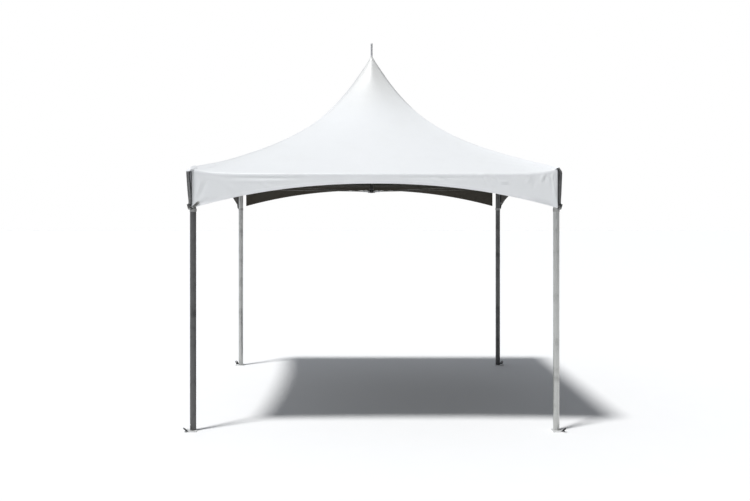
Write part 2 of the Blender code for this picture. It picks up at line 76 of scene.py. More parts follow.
# Base plates
PLATE_SIDE = 0.1
PLATE_THICK = 0.006
PLATE_SHIFT = 0.012
PLATE_CORNER = 0.01
STAKE_HOLE_R = 0.011
STAKE_HOLE_INSET = 0.018
TIE_LUG_HALF = 0.016
TIE_LUG_LENGTH = 0.034
TIE_LUG_HOLE_R = 0.008
TIE_LUG_ROOT = 0.03
STUB_R = 0.0218
STUB_TOP_Z = 0.07

# Canopy shape
WRAP_R = TUBE_R + 0.0017
PEAK_Z = 3.353
TIP_R = 0.014
COLLAR_R = 0.042
SWEEP_LINEAR = 0.49
SWEEP_POWER = 3.2
SQUARENESS_AT_PEAK = 0.25
SQUARENESS_POWER = 0.7
RISE_FADE = 3
RISE_SHARPNESS = 12
EAVE_SLOPE = math.radians(25)
CAD_WRAP_R = TUBE_R + 0.0043
CLOTH_DEPTH = CAD_WRAP_R - WRAP_R
ROOF_HALF = LEG + CAD_WRAP_R * math.sin(EAVE_SLOPE)
HIP_END_Z = EAVE_Z + CAD_WRAP_R * math.cos(EAVE_SLOPE) + CORNER_RISE
SCOOP_MID_Z = 2.039
SCOOP_DROP = 0.2
SCOOP_HALF = 1.5
SCOOP_POWER = 2.15
SLIT_FRONT = LEG + 0.0064
SLIT_REAR = LEG - 0.058
CLOTH_THICK = 0.0012
EAVE_ROW, WRAP_ROWS, HANG_ROWS = 56, 6, 16
HEM_HEIGHTS = (0.027, 0.025, 0.014, 0.003, 0.0)
HEM_FOLD = 0.0009
HIP_DROOP, HIP_DROOP_AT = 0.012, 0.28

# Mast and pin
MAST_R = 0.019
MAST_BOTTOM_Z = 2.03
MAST_TOP_Z = 3.27
FOOT_Z = 1.984
SPIGOT_R = 0.0156
PIN_R = 0.0095
PIN_TOP_Z = 3.478
PIN_EYE_R = 0.0098

# Straps and ratchets
WEB_HALF = 0.0254
STRAP_BEND = ((0.0305, 0.009), (0.0375, 0.024), (0.0395, 0.05), (0.034, 0.175))
LOOP_BOTTOM_Z = 1.806
LOOP_TOP_Z = 1.832
RATCHET_Z = 1.849
RATCHET_TOP_Z = 1.874
RATCHET_SIZE = (0.86, 0.84, 1.0, 1.0)
STRAP_THICK = 0.0018
STRAP_FOLD_END, STRAP_FLAT_AFTER = 0.045, 0.095
STRAP_LEANS = (0.0, 0.0, 0.011, 0.0)
TAB_PLACES = (0.0, 0.010, 0.018, 0.0235, 0.0266, 0.0278, 0.032, 0.037, 0.040)
TAB_DROPS = (0.028, 0.024, 0.044, 0.008)

# Light and camera: the camera's values in the photograph's pixels, and its place in metres
FRAME_WIDE, FRAME_HIGH = 750, 501
FOCAL_PIXELS = 878.0
EYE_PIXEL_X, EYE_PIXEL_Y = 356.5, 207.0
EYE = (-0.15, -8.745, 1.845)
KEY_FROM = (-0.27, -0.23, 0.935)
KEY_LIGHT = 2.80
KEY_WIDTH = math.radians(8)
ROOM_LEFT, ROOM_RIGHT = 0.62, 0.10
ROOM_FRONT, ROOM_BACK = 0.47, 1.1
FLOOR_HALF = 60.0

# Sides and corners, and turns
SIDES = ("front", "right", "back", "left")
CORNERS = ("back_right", "back_left", "front_left", "front_right")
SLITS = {
    "front": (-SLIT_FRONT, SLIT_FRONT),
    "right": (-SLIT_FRONT, SLIT_REAR),
    "back": (-SLIT_REAR, SLIT_REAR),
    "left": (-SLIT_REAR, SLIT_FRONT),
}
CORNER_POST = Matrix.Translation((LEG, LEG, 0.0))
OUTWARDS = CORNER_POST @ Matrix.Rotation(math.radians(45), 4, "Z")
ALONG_X = Matrix.Rotation(math.pi / 2, 4, "Y")
ALONG_Y = Matrix.Rotation(math.pi / 2, 4, "X")
UPSIDE_DOWN = Matrix.Rotation(math.pi, 4, "X")
UP = Vector((0.0, 0.0, 1.0))


# Finishes

class Value:
    """A socket in a tree of nodes, with the arithmetic that adds Math nodes."""

    def __init__(self, nodes, socket):
        self.nodes = nodes
        self.socket = socket

    def __add__(self, other):
        return self.nodes.math("ADD", self, other)

    def __sub__(self, other):
        return self.nodes.math("SUBTRACT", self, other)

    def __rsub__(self, other):
        return self.nodes.math("SUBTRACT", other, self)

    def __mul__(self, other):
        return self.nodes.math("MULTIPLY", self, other)

    __radd__ = __add__
    __rmul__ = __mul__

    def sine(self):
        return self.nodes.math("SINE", self)

    def size(self):
        return self.nodes.math("ABSOLUTE", self)

    def between(self, low, high):
        """0 below low, 1 above high and a smooth step in between."""
        settings = {"interpolation_type": "SMOOTHSTEP"}
        return self.nodes.node("MapRange", settings, {"Value": self, "From Min": low, "From Max": high})

    def fading(self, low, high, start, end):
        """From start at low to end at high, in a straight line."""
        inputs = {"Value": self, "From Min": low, "From Max": high, "To Min": start, "To Max": end}
        return self.nodes.node("MapRange", inputs=inputs)


class Nodes:
    """A tree of nodes, for a finish or for the room."""

    def __init__(self, tree):
        self.tree = tree

    def node(self, kind, settings=None, inputs=None, output=0):
        """Add a node: its settings first, then the values or links of its sockets."""
        made = self.tree.nodes.new("ShaderNode" + kind)
        for name, value in (settings or {}).items():
            setattr(made, name, value)
        for name, value in (inputs or {}).items():
            if isinstance(value, Value):
                self.tree.links.new(value.socket, made.inputs[name])
            else:
                made.inputs[name].default_value = value
        return Value(self, made.outputs[output])

    def math(self, operation, *values):
        return self.node("Math", {"operation": operation}, dict(enumerate(values)))

    def place(self, output="Object"):
        """Where a point lies: in space, on the cloth in metres, or in the room's directions."""
        return self.node("TexCoord", output=output)

    def along(self, vector, axis):
        return self.node("SeparateXYZ", inputs={0: vector}, output=axis)


class Finish(Nodes):
    """A Principled material, built node by node."""

    def __init__(self, name, constants):
        self.material = bpy.data.materials.new(name)
        self.material.use_nodes = True
        super().__init__(self.material.node_tree)
        self.shader = self.tree.nodes["Principled BSDF"]
        for socket, value in constants.items():
            self.shader.inputs[socket].default_value = value

    def mix(self, amount, first, second):
        """Mix two colours."""
        return self.node("Mix", {"data_type": "RGBA"}, {0: amount, 6: first, 7: second}, output=2)

    def stretched(self, vector, factors):
        return self.node("VectorMath", {"operation": "MULTIPLY"}, {0: vector, 1: factors})

    def cloudy(self, vector, scale, detail=3.0, roughness=0.5):
        """Noise between 0 and 1."""
        inputs = {"Vector": vector, "Scale": scale, "Detail": detail, "Roughness": roughness}
        return self.node("TexNoise", inputs=inputs)

    def cells(self, vector, scale):
        """Cells, each of one random colour."""
        return self.node("TexVoronoi", inputs={"Vector": vector, "Scale": scale}, output="Color")

    def feed(self, socket, value):
        self.tree.links.new(value.socket, self.shader.inputs[socket])

    def relief(self, layers):
        """Bump from (height, depth in metres) layers, one over the other."""
        normal = None
        for height, depth in layers:
            inputs = {"Height": height, "Distance": depth, "Strength": 1.0}
            if normal is not None:
                inputs["Normal"] = normal
            normal = self.node("Bump", inputs=inputs)
        self.feed("Normal", normal)


def colour(red, green, blue):
    return (red, green, blue, 1.0)


def grey(level):
    return colour(level, level, level)


def coated_cloth(name, clean, grubby_and_shaded, grub, gloss):
    """PVC-coated polyester: a fine scrim shows through a satin skin."""
    finish = Finish(name, {"IOR": 1.5, "Coat Weight": 0.06, "Coat Roughness": 0.25, "Sheen Weight": 0.04})
    where, flat = finish.place(), finish.place("UV")
    u, v = finish.along(flat, "X"), finish.along(flat, "Y")
    scrim_pitch = 2 * math.pi / 0.0011
    scrim = (u * scrim_pitch).sine() * (v * scrim_pitch).sine()
    blotches = finish.cloudy(where, 3.1, 5.0, 0.6)
    scuffs = finish.cloudy(finish.stretched(where, (9.0, 9.0, 30.0)), 1.0, 6.0, 0.7)
    # Darker towards the peak: painted shade on the steep upper roof. The blotches and scuffs are real dirt.
    peak_shade = finish.along(where, "Z").between(2.62, 3.25) * 0.75
    dirt_and_top_shade = blotches.between(0.46, 0.74) * grub + scuffs.between(0.58, 0.8) * (grub * 0.7) + peak_shade
    finish.feed("Base Color", finish.mix(dirt_and_top_shade, clean, grubby_and_shaded))
    finish.feed("Roughness", (blotches - 0.5) * 0.16 + scuffs * 0.08 + gloss)
    finish.relief([
        (scrim, 0.00005),
        (finish.cloudy(where, 55.0, 2.0), 0.00035),
        (finish.cloudy(where, 9.0, 3.0), 0.0012),
    ])
    return finish.material


def webbing(name, edge, middle, worn):
    """Woven polyester webbing: ribs along its length, crossed by a slanted weft, with a paler middle stripe;
    on the black straps this stripe is partly a painted highlight, the sunlit sheen down their middle.
    """
    finish = Finish(name, {"IOR": 1.5, "Sheen Weight": 0.2, "Sheen Roughness": 0.4})
    flat = finish.place("UV")
    across, along = finish.along(flat, "X"), finish.along(flat, "Y")
    rib_pitch, weft_pitch = 2 * math.pi / 0.0032, 2 * math.pi / 0.0021
    ribs = (across * rib_pitch).sine()
    weft = ((along + across.size() * 0.9) * weft_pitch).sine()
    weave = ribs.size() * 0.6 + weft * 0.4
    yarn_and_sheen = finish.mix(across.size().between(0.0125, 0.0155), middle, edge)
    wear = finish.cloudy(finish.place(), 60.0, 4.0, 0.65).between(0.5, 0.75)
    finish.feed("Base Color", finish.mix(wear * 0.45, yarn_and_sheen, worn))
    finish.feed("Roughness", wear * 0.15 + 0.62)
    finish.relief([(weave, 0.0004)])
    return finish.material


def extruded_tube(name, bright, dull, gloss):
    """Aluminium tube: faint die lines along it, scuffs and dull handling marks."""
    finish = Finish(name, {"Metallic": 1.0, "IOR": 1.45})
    where, flat = finish.place(), finish.place("UV")
    lines = finish.cloudy(finish.stretched(flat, (900.0, 2.2, 1.0)), 1.0, 3.0, 0.7)
    marks = finish.cloudy(where, 11.0, 6.0, 0.65).between(0.45, 0.78)
    scratches = finish.cloudy(finish.stretched(where, (60.0, 60.0, 9.0)), 3.0, 4.0, 0.8).between(0.6, 0.7)
    finish.feed("Base Color", finish.mix(marks * 0.55 + lines * 0.3, bright, dull))
    finish.feed("Roughness", lines * 0.14 + marks * 0.16 + scratches * 0.08 + gloss)
    finish.relief([(lines, 0.00006), (scratches, 0.00005)])
    return finish.material


def galvanised(name, bright, dull, metal):
    """Hot-dipped zinc: spangle, grey bloom and a few darker pits."""
    finish = Finish(name, {"IOR": 1.45})
    where = finish.place()
    spangle = finish.along(finish.cells(where, 130.0), "X")
    bloom = finish.cloudy(where, 24.0, 6.0, 0.62).between(0.4, 0.75)
    pits = finish.cloudy(where, 210.0, 2.0).between(0.64, 0.72)
    zinc = finish.mix(spangle * 0.5 + bloom * 0.5, bright, dull)
    finish.feed("Base Color", finish.mix(pits * 0.6, zinc, colour(0.16, 0.15, 0.14)))
    finish.feed("Metallic", metal - bloom * (metal * 0.35))
    finish.feed("Roughness", spangle * 0.12 + bloom * 0.22 + 0.3)
    finish.relief([(spangle, 0.00004), (finish.cloudy(where, 90.0, 3.0), 0.00025)])
    return finish.material


def plated_steel(name, face, worn, gloss):
    """Plated steel with the plating rubbed off in places."""
    finish = Finish(name, {"Metallic": 0.9, "IOR": 1.5})
    where = finish.place()
    rubbed = finish.cloudy(where, 75.0, 6.0, 0.7).between(0.58, 0.74)
    streaks = finish.cloudy(finish.stretched(where, (300.0, 300.0, 40.0)), 1.0, 3.0)
    finish.feed("Base Color", finish.mix(rubbed * 0.6 + streaks * 0.12, face, worn))
    finish.feed("Roughness", rubbed * -0.12 + streaks * 0.12 + gloss)
    finish.relief([(finish.cloudy(where, 160.0, 3.0), 0.00018)])
    return finish.material


def drawn_wire():
    """Zinc-coated rope wire: fine lines along each strand and grease in the lays."""
    finish = Finish("drawn_wire", {"Metallic": 1.0, "IOR": 1.45})
    flat = finish.place("UV")
    wires = ((finish.along(flat, "X") + finish.along(flat, "Y") * 0.25) * (2 * math.pi / 0.0006)).sine()
    grease = finish.cloudy(finish.place(), 120.0, 4.0, 0.6).between(0.45, 0.7)
    # The wire's tones are dark: painted shade for the cables in the tent's shaded inside; the grease in the
    # lays is darker still.
    finish.feed("Base Color", finish.mix(grease * 0.7, colour(0.20, 0.20, 0.19), colour(0.07, 0.066, 0.06)))
    finish.feed("Roughness", grease * 0.2 + 0.36)
    finish.relief([(wires, 0.00012)])
    return finish.material


def pale_floor():
    """Smooth pale ground, faintly uneven."""
    finish = Finish("pale_floor", {"IOR": 1.4})
    grain = finish.cloudy(finish.place(), 4.0, 4.0)
    finish.feed("Base Color", finish.mix(grain, colour(0.965, 0.97, 0.97), colour(0.98, 0.98, 0.98)))
    finish.feed("Roughness", grain * 0.1 + 0.75)
    return finish.material


# Forms

def quarter_turn(index):
    """The turn about the tent's centre that carries corner or side 0 to another one."""
    return Matrix.Rotation(math.radians(90 * index), 4, "Z")


def circle(radius, steps, high=None):
    """Points of a circle, or of an ellipse where its other half axis is given."""
    high = radius if high is None else high
    angles = [2 * math.pi * k / steps for k in range(steps)]
    return [(radius * math.cos(angle), high * math.sin(angle)) for angle in angles]


class Form:
    """The mesh of one piece in the making."""

    def __init__(self):
        self.bm = bmesh.new()
        self.uv = self.bm.loops.layers.uv.new("metres")

    def face(self, corners, places, finish=0):
        made = self.bm.faces.new(corners)
        made.material_index = finish
        for loop, place in zip(made.loops, places):
            loop[self.uv].uv = place

    def grid(self, points, places, finish=0, wrap=False, skip=None):
        """Quads over rows of points. A wrapped grid has one more column of places than of points."""
        rows = [[self.bm.verts.new(point) for point in row] for row in points]
        count = len(rows[0])
        for i in range(len(rows) - 1):
            for j in range(count if wrap else count - 1):
                if skip and skip(i, j):
                    continue
                k = (j + 1) % count
                corners = (rows[i][j], rows[i + 1][j], rows[i + 1][k], rows[i][k])
                marks = (places[i][j], places[i + 1][j], places[i + 1][j + 1], places[i][j + 1])
                self.face(corners, marks, finish)
        return rows

    def cap(self, ring, finish=0):
        self.face(ring, [(0.0, 0.0)] * len(ring), finish)

    def turned(self, profile, matrix=None, sides=32, ring=False, finish=0):
        """Turn a profile of (radius, height) about Z. A ring profile closes on itself."""
        matrix = matrix or Matrix()
        line = list(profile) + ([profile[0]] if ring else [])
        angles = [2 * math.pi * j / sides for j in range(sides + 1)]
        points, places, run = [], [], 0.0
        for i, (radius, height) in enumerate(line):
            if i:
                run += math.dist(line[i - 1], line[i])
            points.append([matrix @ Vector((x, y, height)) for x, y in circle(radius, sides)])
            places.append([(angle * max(radius, 0.004), run) for angle in angles])
        if ring:
            points.pop()
        rows = self.grid(points, places, finish, wrap=True)
        if ring:
            for j in range(sides):
                k = (j + 1) % sides
                marks = (places[-2][j], places[-1][j], places[-1][j + 1], places[-2][j + 1])
                self.face((rows[-1][j], rows[0][j], rows[0][k], rows[-1][k]), marks, finish)
        else:
            self.cap(rows[0], finish)
            self.cap(rows[-1][::-1], finish)

    def swept(self, path, section, finish=0, up=UP, turns=0.0, matrix=None):
        """Carry a closed section along a path. Section X lies across the path and Y towards up."""
        matrix = matrix or Matrix()
        edges = [math.dist(section[j - 1], section[j]) for j in range(len(section))]
        around = [sum(edges[1:j + 1]) for j in range(len(section))] + [sum(edges)]
        points, places, run = [], [], 0.0
        for i, here in enumerate(path):
            before, after = path[max(i - 1, 0)], path[min(i + 1, len(path) - 1)]
            ahead = (after - before).normalized()
            aside = ahead.cross(up).normalized()
            above = aside.cross(ahead)
            run += (here - path[i - 1]).length if i else 0.0
            turn = Matrix.Rotation(2 * math.pi * turns * i / (len(path) - 1), 2)
            row = []
            for x, y in section:
                x, y = turn @ Vector((x, y))
                row.append(matrix @ (here + aside * x + above * y))
            points.append(row)
            places.append([(place, run) for place in around])
        rows = self.grid(points, places, finish, wrap=True)
        self.cap(rows[0][::-1], finish)
        self.cap(rows[-1], finish)

    def strip(self, lines, under, places, finish=0):
        """A thin closed band: a grid of upper points and the matching grid beneath."""
        top = self.grid(lines, places, finish)
        low = self.grid(under, places, finish)
        last = len(top) - 1
        for i in range(last):
            for j, flip in ((0, False), (-1, True)):
                ring = [top[i][j], low[i][j], low[i + 1][j], top[i + 1][j]]
                marks = [places[i][j], places[i][j], places[i + 1][j], places[i + 1][j]]
                self.face(ring[::-1] if flip else ring, marks, finish)
        for j in range(len(top[0]) - 1):
            for i, flip in ((0, True), (last, False)):
                ring = [top[i][j], low[i][j], low[i][j + 1], top[i][j + 1]]
                marks = [places[i][j], places[i][j], places[i][j + 1], places[i][j + 1]]
                self.face(ring[::-1] if flip else ring, marks, finish)

    def plate(self, outline, thick, matrix=None, holes=(), edge=0.0006, finish=0):
        """A flat plate about its own XY plane, with round holes and softened edges."""
        curve = bpy.data.curves.new("plate", "CURVE")
        curve.dimensions = "2D"
        curve.fill_mode = "BOTH"
        curve.extrude = thick / 2 - edge
        curve.bevel_depth = edge
        curve.bevel_resolution = 1
        curve.offset = -edge
        rings = [outline]
        for x, y, radius in holes:
            rings.append([(x + across, y + up) for across, up in circle(radius, 20)])
        for ring in rings:
            spline = curve.splines.new("POLY")
            spline.points.add(len(ring) - 1)
            for point, (x, y) in zip(spline.points, ring):
                point.co = (x, y, 0.0, 1.0)
            spline.use_cyclic_u = True
        ob = bpy.data.objects.new("plate", curve)
        bpy.context.scene.collection.objects.link(ob)
        bpy.context.view_layer.update()
        mesh = bpy.data.meshes.new_from_object(ob.evaluated_get(bpy.context.evaluated_depsgraph_get()))
        bpy.data.objects.remove(ob)
        mesh.transform(matrix or Matrix())
        self.add(mesh, finish)

    def add(self, mesh, finish=0):
        """Take in another mesh, which is then gone."""
        old = len(self.bm.faces)
        self.bm.from_mesh(mesh)
        bpy.data.meshes.remove(mesh)
        self.bm.faces.ensure_lookup_table()
        for made in self.bm.faces[old:]:
            made.material_index = finish

    def block(self, size, center, matrix=None, edge=0.0006, finish=0):
        """A block with softened edges."""
        bm = bmesh.new()
        bmesh.ops.create_cube(bm, size=1.0)
        bmesh.ops.scale(bm, vec=Vector(size), verts=bm.verts)
        bmesh.ops.bevel(bm, geom=bm.edges[:], offset=edge, segments=2, profile=0.5, affect="EDGES")
        bmesh.ops.transform(bm, matrix=(matrix or Matrix()) @ Matrix.Translation(center), verts=bm.verts)
        mesh = bpy.data.meshes.new("block")
        bm.to_mesh(mesh)
        bm.free()
        self.add(mesh, finish)

    def bolt(self, matrix, radius, length, finish=0):
        """A hex bolt through Z = 0, with its head up and its nut down."""
        shank = [(radius * 0.9, -length), (radius, -length + radius * 0.2), (radius, length)]
        hexagon = [(1.75, 0.0), (1.9, 0.15), (1.9, 0.95), (1.7, 1.1)]
        washer = [(2.2, -0.3), (2.2, 0.0)]
        self.turned(shank, matrix, 16, finish=finish)
        for height in (length, -length + radius * 1.2):
            spot = matrix @ Matrix.Translation((0.0, 0.0, height))
            self.turned([(radius * wide, radius * up) for wide, up in hexagon], spot, 6, finish=finish)
            self.turned([(radius * wide, radius * up) for wide, up in washer], spot, 20, finish=finish)

    def mesh(self, name, closed=True, weld=0.000001):
        """The finished mesh: welded, its faces outward where it is closed, and smooth between sharp edges."""
        bmesh.ops.remove_doubles(self.bm, verts=self.bm.verts, dist=weld)
        if closed:
            bmesh.ops.recalc_face_normals(self.bm, faces=self.bm.faces)
        mesh = bpy.data.meshes.new(name)
        self.bm.to_mesh(mesh)
        self.bm.free()
        mesh.shade_smooth()
        mesh.set_sharp_from_angle(angle=math.radians(38))
        return mesh


def put(name, mesh, finishes, replaced=()):
    """Place a finished piece on the tent's body."""
    ob = bpy.data.objects.new(name, mesh)
    bpy.context.scene.collection.objects.link(ob)
    for finish in finishes:
        mesh.materials.append(finish)
    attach(ob, "root")
    if replaced:
        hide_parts(*replaced)
    return ob


def put_four(name, mesh, finishes, node=None, places=CORNERS):
    """Turn one corner's or side's piece to all four places."""
    for index, place in enumerate(places):
        copy = mesh.copy()
        copy.transform(quarter_turn(index))
        replaced = (f"{node}_{place}",) if node else ()
        put(f"{name}_{place}", copy, finishes, replaced)
    bpy.data.meshes.remove(mesh)


def smooth_path(points, step):
    """A curve through the points, cut into runs of about the given length."""
    path = []
    for i in range(len(points) - 1):
        before, start = points[max(i - 1, 0)], points[i]
        end, after = points[i + 1], points[min(i + 2, len(points) - 1)]
        square = 2 * before - 5 * start + 4 * end - after
        cube = 3 * start - before - 3 * end + after
        steps = max(1, round((end - start).length / step))
        for k in range(steps):
            t = k / steps
            path.append(0.5 * (2 * start + (end - before) * t + square * t ** 2 + cube * t ** 3))
    path.append(points[-1])
    return path


def rounded_square(half, corner, shift, steps=5):
    """A square outline with round corners, moved by shift along both axes."""
    outline = []
    for quarter in range(4):
        middle = math.radians(45 + 90 * quarter)
        x = math.copysign(half - corner, math.cos(middle))
        y = math.copysign(half - corner, math.sin(middle))
        for i in range(steps + 1):
            angle = math.pi / 2 * (quarter + i / steps)
            outline.append((shift + x + corner * math.cos(angle), shift + y + corner * math.sin(angle)))
    return outline


def round_ended(start, end, half_width, steps=10):
    """An outline that runs from start to a round end about the point at end."""
    outline = [(start, half_width), (start, -half_width)]
    for i in range(steps + 1):
        angle = -math.pi / 2 + math.pi * i / steps
        outline.append((end + half_width * math.cos(angle), half_width * math.sin(angle)))
    return outline


# Canopy

def hip_z(reach):
    """Height of the hips where the level line is this far from the centre at mid panel."""
    left = 1.0 - reach / ROOF_HALF
    sweep = SWEEP_LINEAR * left + (1.0 - SWEEP_LINEAR) * left ** SWEEP_POWER
    return HIP_END_Z + (PEAK_Z - HIP_END_Z) * sweep


def level_radius(reach, spread):
    """Distance from the centre to a level line, whose form goes from round to square."""
    squareness = SQUARENESS_AT_PEAK
    squareness += (1.0 - SQUARENESS_AT_PEAK) * (reach / ROOF_HALF) ** SQUARENESS_POWER
    return reach * ((1.0 - squareness) + squareness * spread)


def scoop_z(x):
    """Height of the valance's lower edge."""
    return SCOOP_MID_Z - SCOOP_DROP * (abs(x) / SCOOP_HALF) ** SCOOP_POWER


def taut(across, down):
    """The front cloth without its creases: down is 0 to 1 on the roof, to 2 round the tube, to 3 below."""
    if down <= 1.0:
        reach = TIP_R + (ROOF_HALF - TIP_R) * down
        spread = math.hypot(1.0, across)
        depth = level_radius(reach, spread) / spread
        sag = CORNER_RISE * (reach / ROOF_HALF) ** RISE_FADE * (1.0 - abs(across) ** RISE_SHARPNESS)
        left = 1.0 - reach / ROOF_HALF
        slope = (PEAK_Z - HIP_END_Z) / ROOF_HALF
        slope *= SWEEP_LINEAR + (1.0 - SWEEP_LINEAR) * SWEEP_POWER * left ** (SWEEP_POWER - 1.0)
        slope += CORNER_RISE / ROOF_HALF * RISE_FADE * (reach / ROOF_HALF) ** (RISE_FADE - 1)
        slope = math.atan(slope)
        depth -= CLOTH_DEPTH * math.sin(slope)
        return Vector((depth * across, -depth, hip_z(reach) - sag - CLOTH_DEPTH * math.cos(slope)))
    x = ROOF_HALF * across
    center_z = EAVE_Z + CORNER_RISE * min(abs(across), 1.0) ** RISE_SHARPNESS
    angle = EAVE_SLOPE + (math.pi / 2 - EAVE_SLOPE) * min(down - 1.0, 1.0)
    point = Vector((x, -LEG - WRAP_R * math.sin(angle), center_z + WRAP_R * math.cos(angle)))
    if down > 2.0:
        point.z = center_z + (scoop_z(x) - center_z) * (down - 2.0)
    return point


def outward(across, down):
    """The cloth's outward direction."""
    small = 0.002
    low, high = max(across - small, -1.0), min(across + small, 1.0)
    up, under = max(down - small, 0.0), min(down + small, 3.0)
    sideways = taut(high, down) - taut(low, down)
    downwards = taut(across, under) - taut(across, up)
    return downwards.cross(sideways).normalized()


# Creases of a valance: from (x, z) to (x, z), half width, height
CREASE_DEPTH = 1.5
FRONT_CREASES = [
    (0.45, 2.120, 0.52, 2.035, 0.014, 0.0026), (0.50, 2.120, 0.60, 2.040, 0.016, -0.0020),
    (0.925, 2.130, 0.850, 2.088, 0.009, 0.0030), (0.90, 2.110, 0.97, 2.010, 0.015, 0.0024),
    (0.97, 2.120, 1.03, 2.030, 0.012, -0.0022), (1.02, 2.052, 1.10, 2.050, 0.009, 0.0028),
    (1.04, 2.034, 1.12, 2.030, 0.010, -0.0020), (1.250, 2.132, 1.280, 2.080, 0.008, 0.0034),
    (1.290, 2.105, 1.242, 2.030, 0.009, 0.0030), (1.33, 2.095, 1.30, 1.99, 0.013, -0.0022),
    (1.402, 2.130, 1.362, 2.055, 0.009, 0.0044), (1.425, 2.120, 1.395, 2.050, 0.010, -0.0030),
    (1.477, 2.130, 1.452, 2.070, 0.008, 0.0040), (1.44, 2.100, 1.47, 1.985, 0.010, -0.0026),
    (1.46, 2.060, 1.49, 1.930, 0.008, 0.0026), (1.27, 1.908, 1.50, 1.852, 0.012, -0.0052),
    (-1.30, 2.086, -0.58, 2.084, 0.012, -0.0036), (-1.20, 2.062, -0.70, 2.058, 0.014, 0.0022),
    (-1.47, 1.930, -1.42, 2.085, 0.014, 0.0022), (-1.44, 1.925, -1.37, 2.085, 0.013, -0.0018),
    (-1.47, 1.872, -1.37, 1.945, 0.010, 0.0024), (-1.46, 1.868, -1.33, 1.905, 0.008, -0.0026),
    (-1.44, 1.862, -1.34, 1.882, 0.007, 0.0028), (-1.36, 1.880, -1.28, 1.915, 0.010, -0.0028),
    (-1.32, 2.095, -1.12, 1.965, 0.022, 0.0016), (-0.20, 2.095, -0.10, 2.050, 0.016, 0.0018),
    (0.12, 2.095, 0.05, 2.050, 0.014, -0.0016), (-0.95, 2.060, -0.84, 1.990, 0.018, 0.0018),
    (0.20, 2.088, 0.85, 2.086, 0.010, -0.0020),
]


def side_creases(side):
    """Creases that run down from the eave, closest together at the corners."""
    if side == "front":
        return FRONT_CREASES
    chance = random.Random("creases of the " + side)
    creases = []
    for i in range(18):
        x = math.copysign(1.46 * chance.random() ** 0.45, chance.random() - 0.5)
        lean = math.copysign(chance.uniform(0.03, 0.13), x)
        bottom = scoop_z(x) + chance.uniform(0.01, 0.05)
        height = chance.choice((-1, 1)) * chance.uniform(0.0016, 0.0036)
        top, width = chance.uniform(2.09, 2.13), chance.uniform(0.014, 0.022)
        creases.append((x, top, x + lean, bottom, width, height))
    return creases


CREASES = {side: side_creases(side) for side in SIDES}


def crease_height(side, x, z):
    """How far a valance's creases stand out at one point."""
    height = 0.0
    for x0, z0, x1, z1, width, rise in CREASES[side]:
        run_x, run_z = x1 - x0, z1 - z0
        length = math.hypot(run_x, run_z)
        along = ((x - x0) * run_x + (z - z0) * run_z) / length
        aside = ((x - x0) * run_z - (z - z0) * run_x) / length
        if abs(aside) > 3 * width or not -0.5 * length < along < 1.5 * length:
            continue
        ends = max(0.0, 1.0 - abs(2 * along / length - 1.0) ** 3) if 0 < along < length else 0.0
        height += CREASE_DEPTH * rise * ends * math.exp(-(aside / width) ** 2)
    return height


def slack(side, across, down):
    """How far the cloth stands off its taut shape."""
    index = SIDES.index(side)
    if down <= 1.0:
        reach = TIP_R + (ROOF_HALF - TIP_R) * down
        edge = ROOF_HALF - reach
        fold = 0.0035 * max(0.0, 1.0 - abs(across) / 0.42) * math.exp(-((reach - 0.11) / 0.075) ** 2)
        x = reach * across
        from_corner = reach * (1.0 - abs(across))
        angle = math.atan2(from_corner, edge + 0.004)
        apart = math.hypot(from_corner, edge)
        fan = 0.0016 * math.sin(angle * 17.0 + 2.3 * index + 3.0 * across) * math.exp(-apart / 0.26)
        fan *= 1.0 - math.exp(-(apart / 0.05) ** 2)
        free = 1.0 - math.exp(-(edge / 0.05) ** 2)
        sway = 0.0022 * noise.noise(Vector((x * 2.1, reach * 2.6, 5.0 * index))) * free
        sway += 0.0007 * noise.noise(Vector((x * 9.0, reach * 7.0, 3.0 + index))) * free
        join = min(1.0, (1.0 - abs(across)) / 0.04)
        return fold + (fan + sway) * join
    x = ROOF_HALF * across
    point = taut(across, down)
    below = min(max((EAVE_Z - 0.006 - point.z) / 0.02, 0.0), 1.0)
    beside = min(max((EAVE_Z + 0.024 - point.z) / 0.02, 0.0), 1.0)
    crease = crease_height(side, x, point.z)
    hang = max(0.0, down - 2.0)
    ripple = 0.0030 * noise.noise(Vector((x * 3.1, hang, 9.0 + index))) * hang ** 1.2
    ripple += 0.0016 * noise.noise(Vector((x * 13.0, hang * 1.3, 2.0 + index))) * hang
    return 0.0004 + beside * max(crease, 0.0) + below * (min(crease, 0.0) + ripple + 0.0012 * hang)


def cloth(index, across, down, lift=0.0):
    """A point on the canopy's outer face, on side 0 to 3."""
    normal = outward(across, down)
    point = taut(across, down) + normal * (slack(SIDES[index % 4], across, down) + lift)
    point = quarter_turn(index) @ point
    if down < 1.0:
        apart = math.hypot(point.x + ROOF_HALF, point.y + ROOF_HALF) / HIP_DROOP_AT
        edge = (1.0 - down) * ROOF_HALF
        point.z -= HIP_DROOP * apart * math.exp(1.0 - apart) * (1.0 - math.exp(-(edge / 0.12) ** 2))
    return point


def cloth_columns():
    """Places along a side from -1 to 1: closer together towards the corners, with one at each slit."""
    half = 112
    columns = []
    for j in range(-half, half + 1):
        part = j / half
        columns.append(0.35 * part + 0.65 * math.sin(math.pi / 2 * part))
    for slit in (SLIT_FRONT, SLIT_REAR):
        for side in (-1, 1):
            place = side * slit / ROOF_HALF
            nearest = min(range(1, len(columns) - 1), key=lambda j: abs(columns[j] - place))
            columns[nearest] = place
    return columns


def cloth_rows():
    """Places down a side: on the roof, closer together at its ends, then round the tube and below."""
    roof = [i / EAVE_ROW - 0.1 * math.sin(2 * math.pi * i / EAVE_ROW) for i in range(EAVE_ROW + 1)]
    wrap = [1.0 + i / WRAP_ROWS for i in range(1, WRAP_ROWS + 1)]
    hang = [2.0 + i / HANG_ROWS for i in range(1, HANG_ROWS + 1)]
    return roof + wrap + hang


def run_down():
    """Distance down the cloth at mid panel for each row, in metres."""
    rows = cloth_rows()
    run, distances = 0.0, [0.0]
    for i in range(1, len(rows)):
        run += (taut(0.3, rows[i]) - taut(0.3, rows[i - 1])).length
        distances.append(run)
    return distances


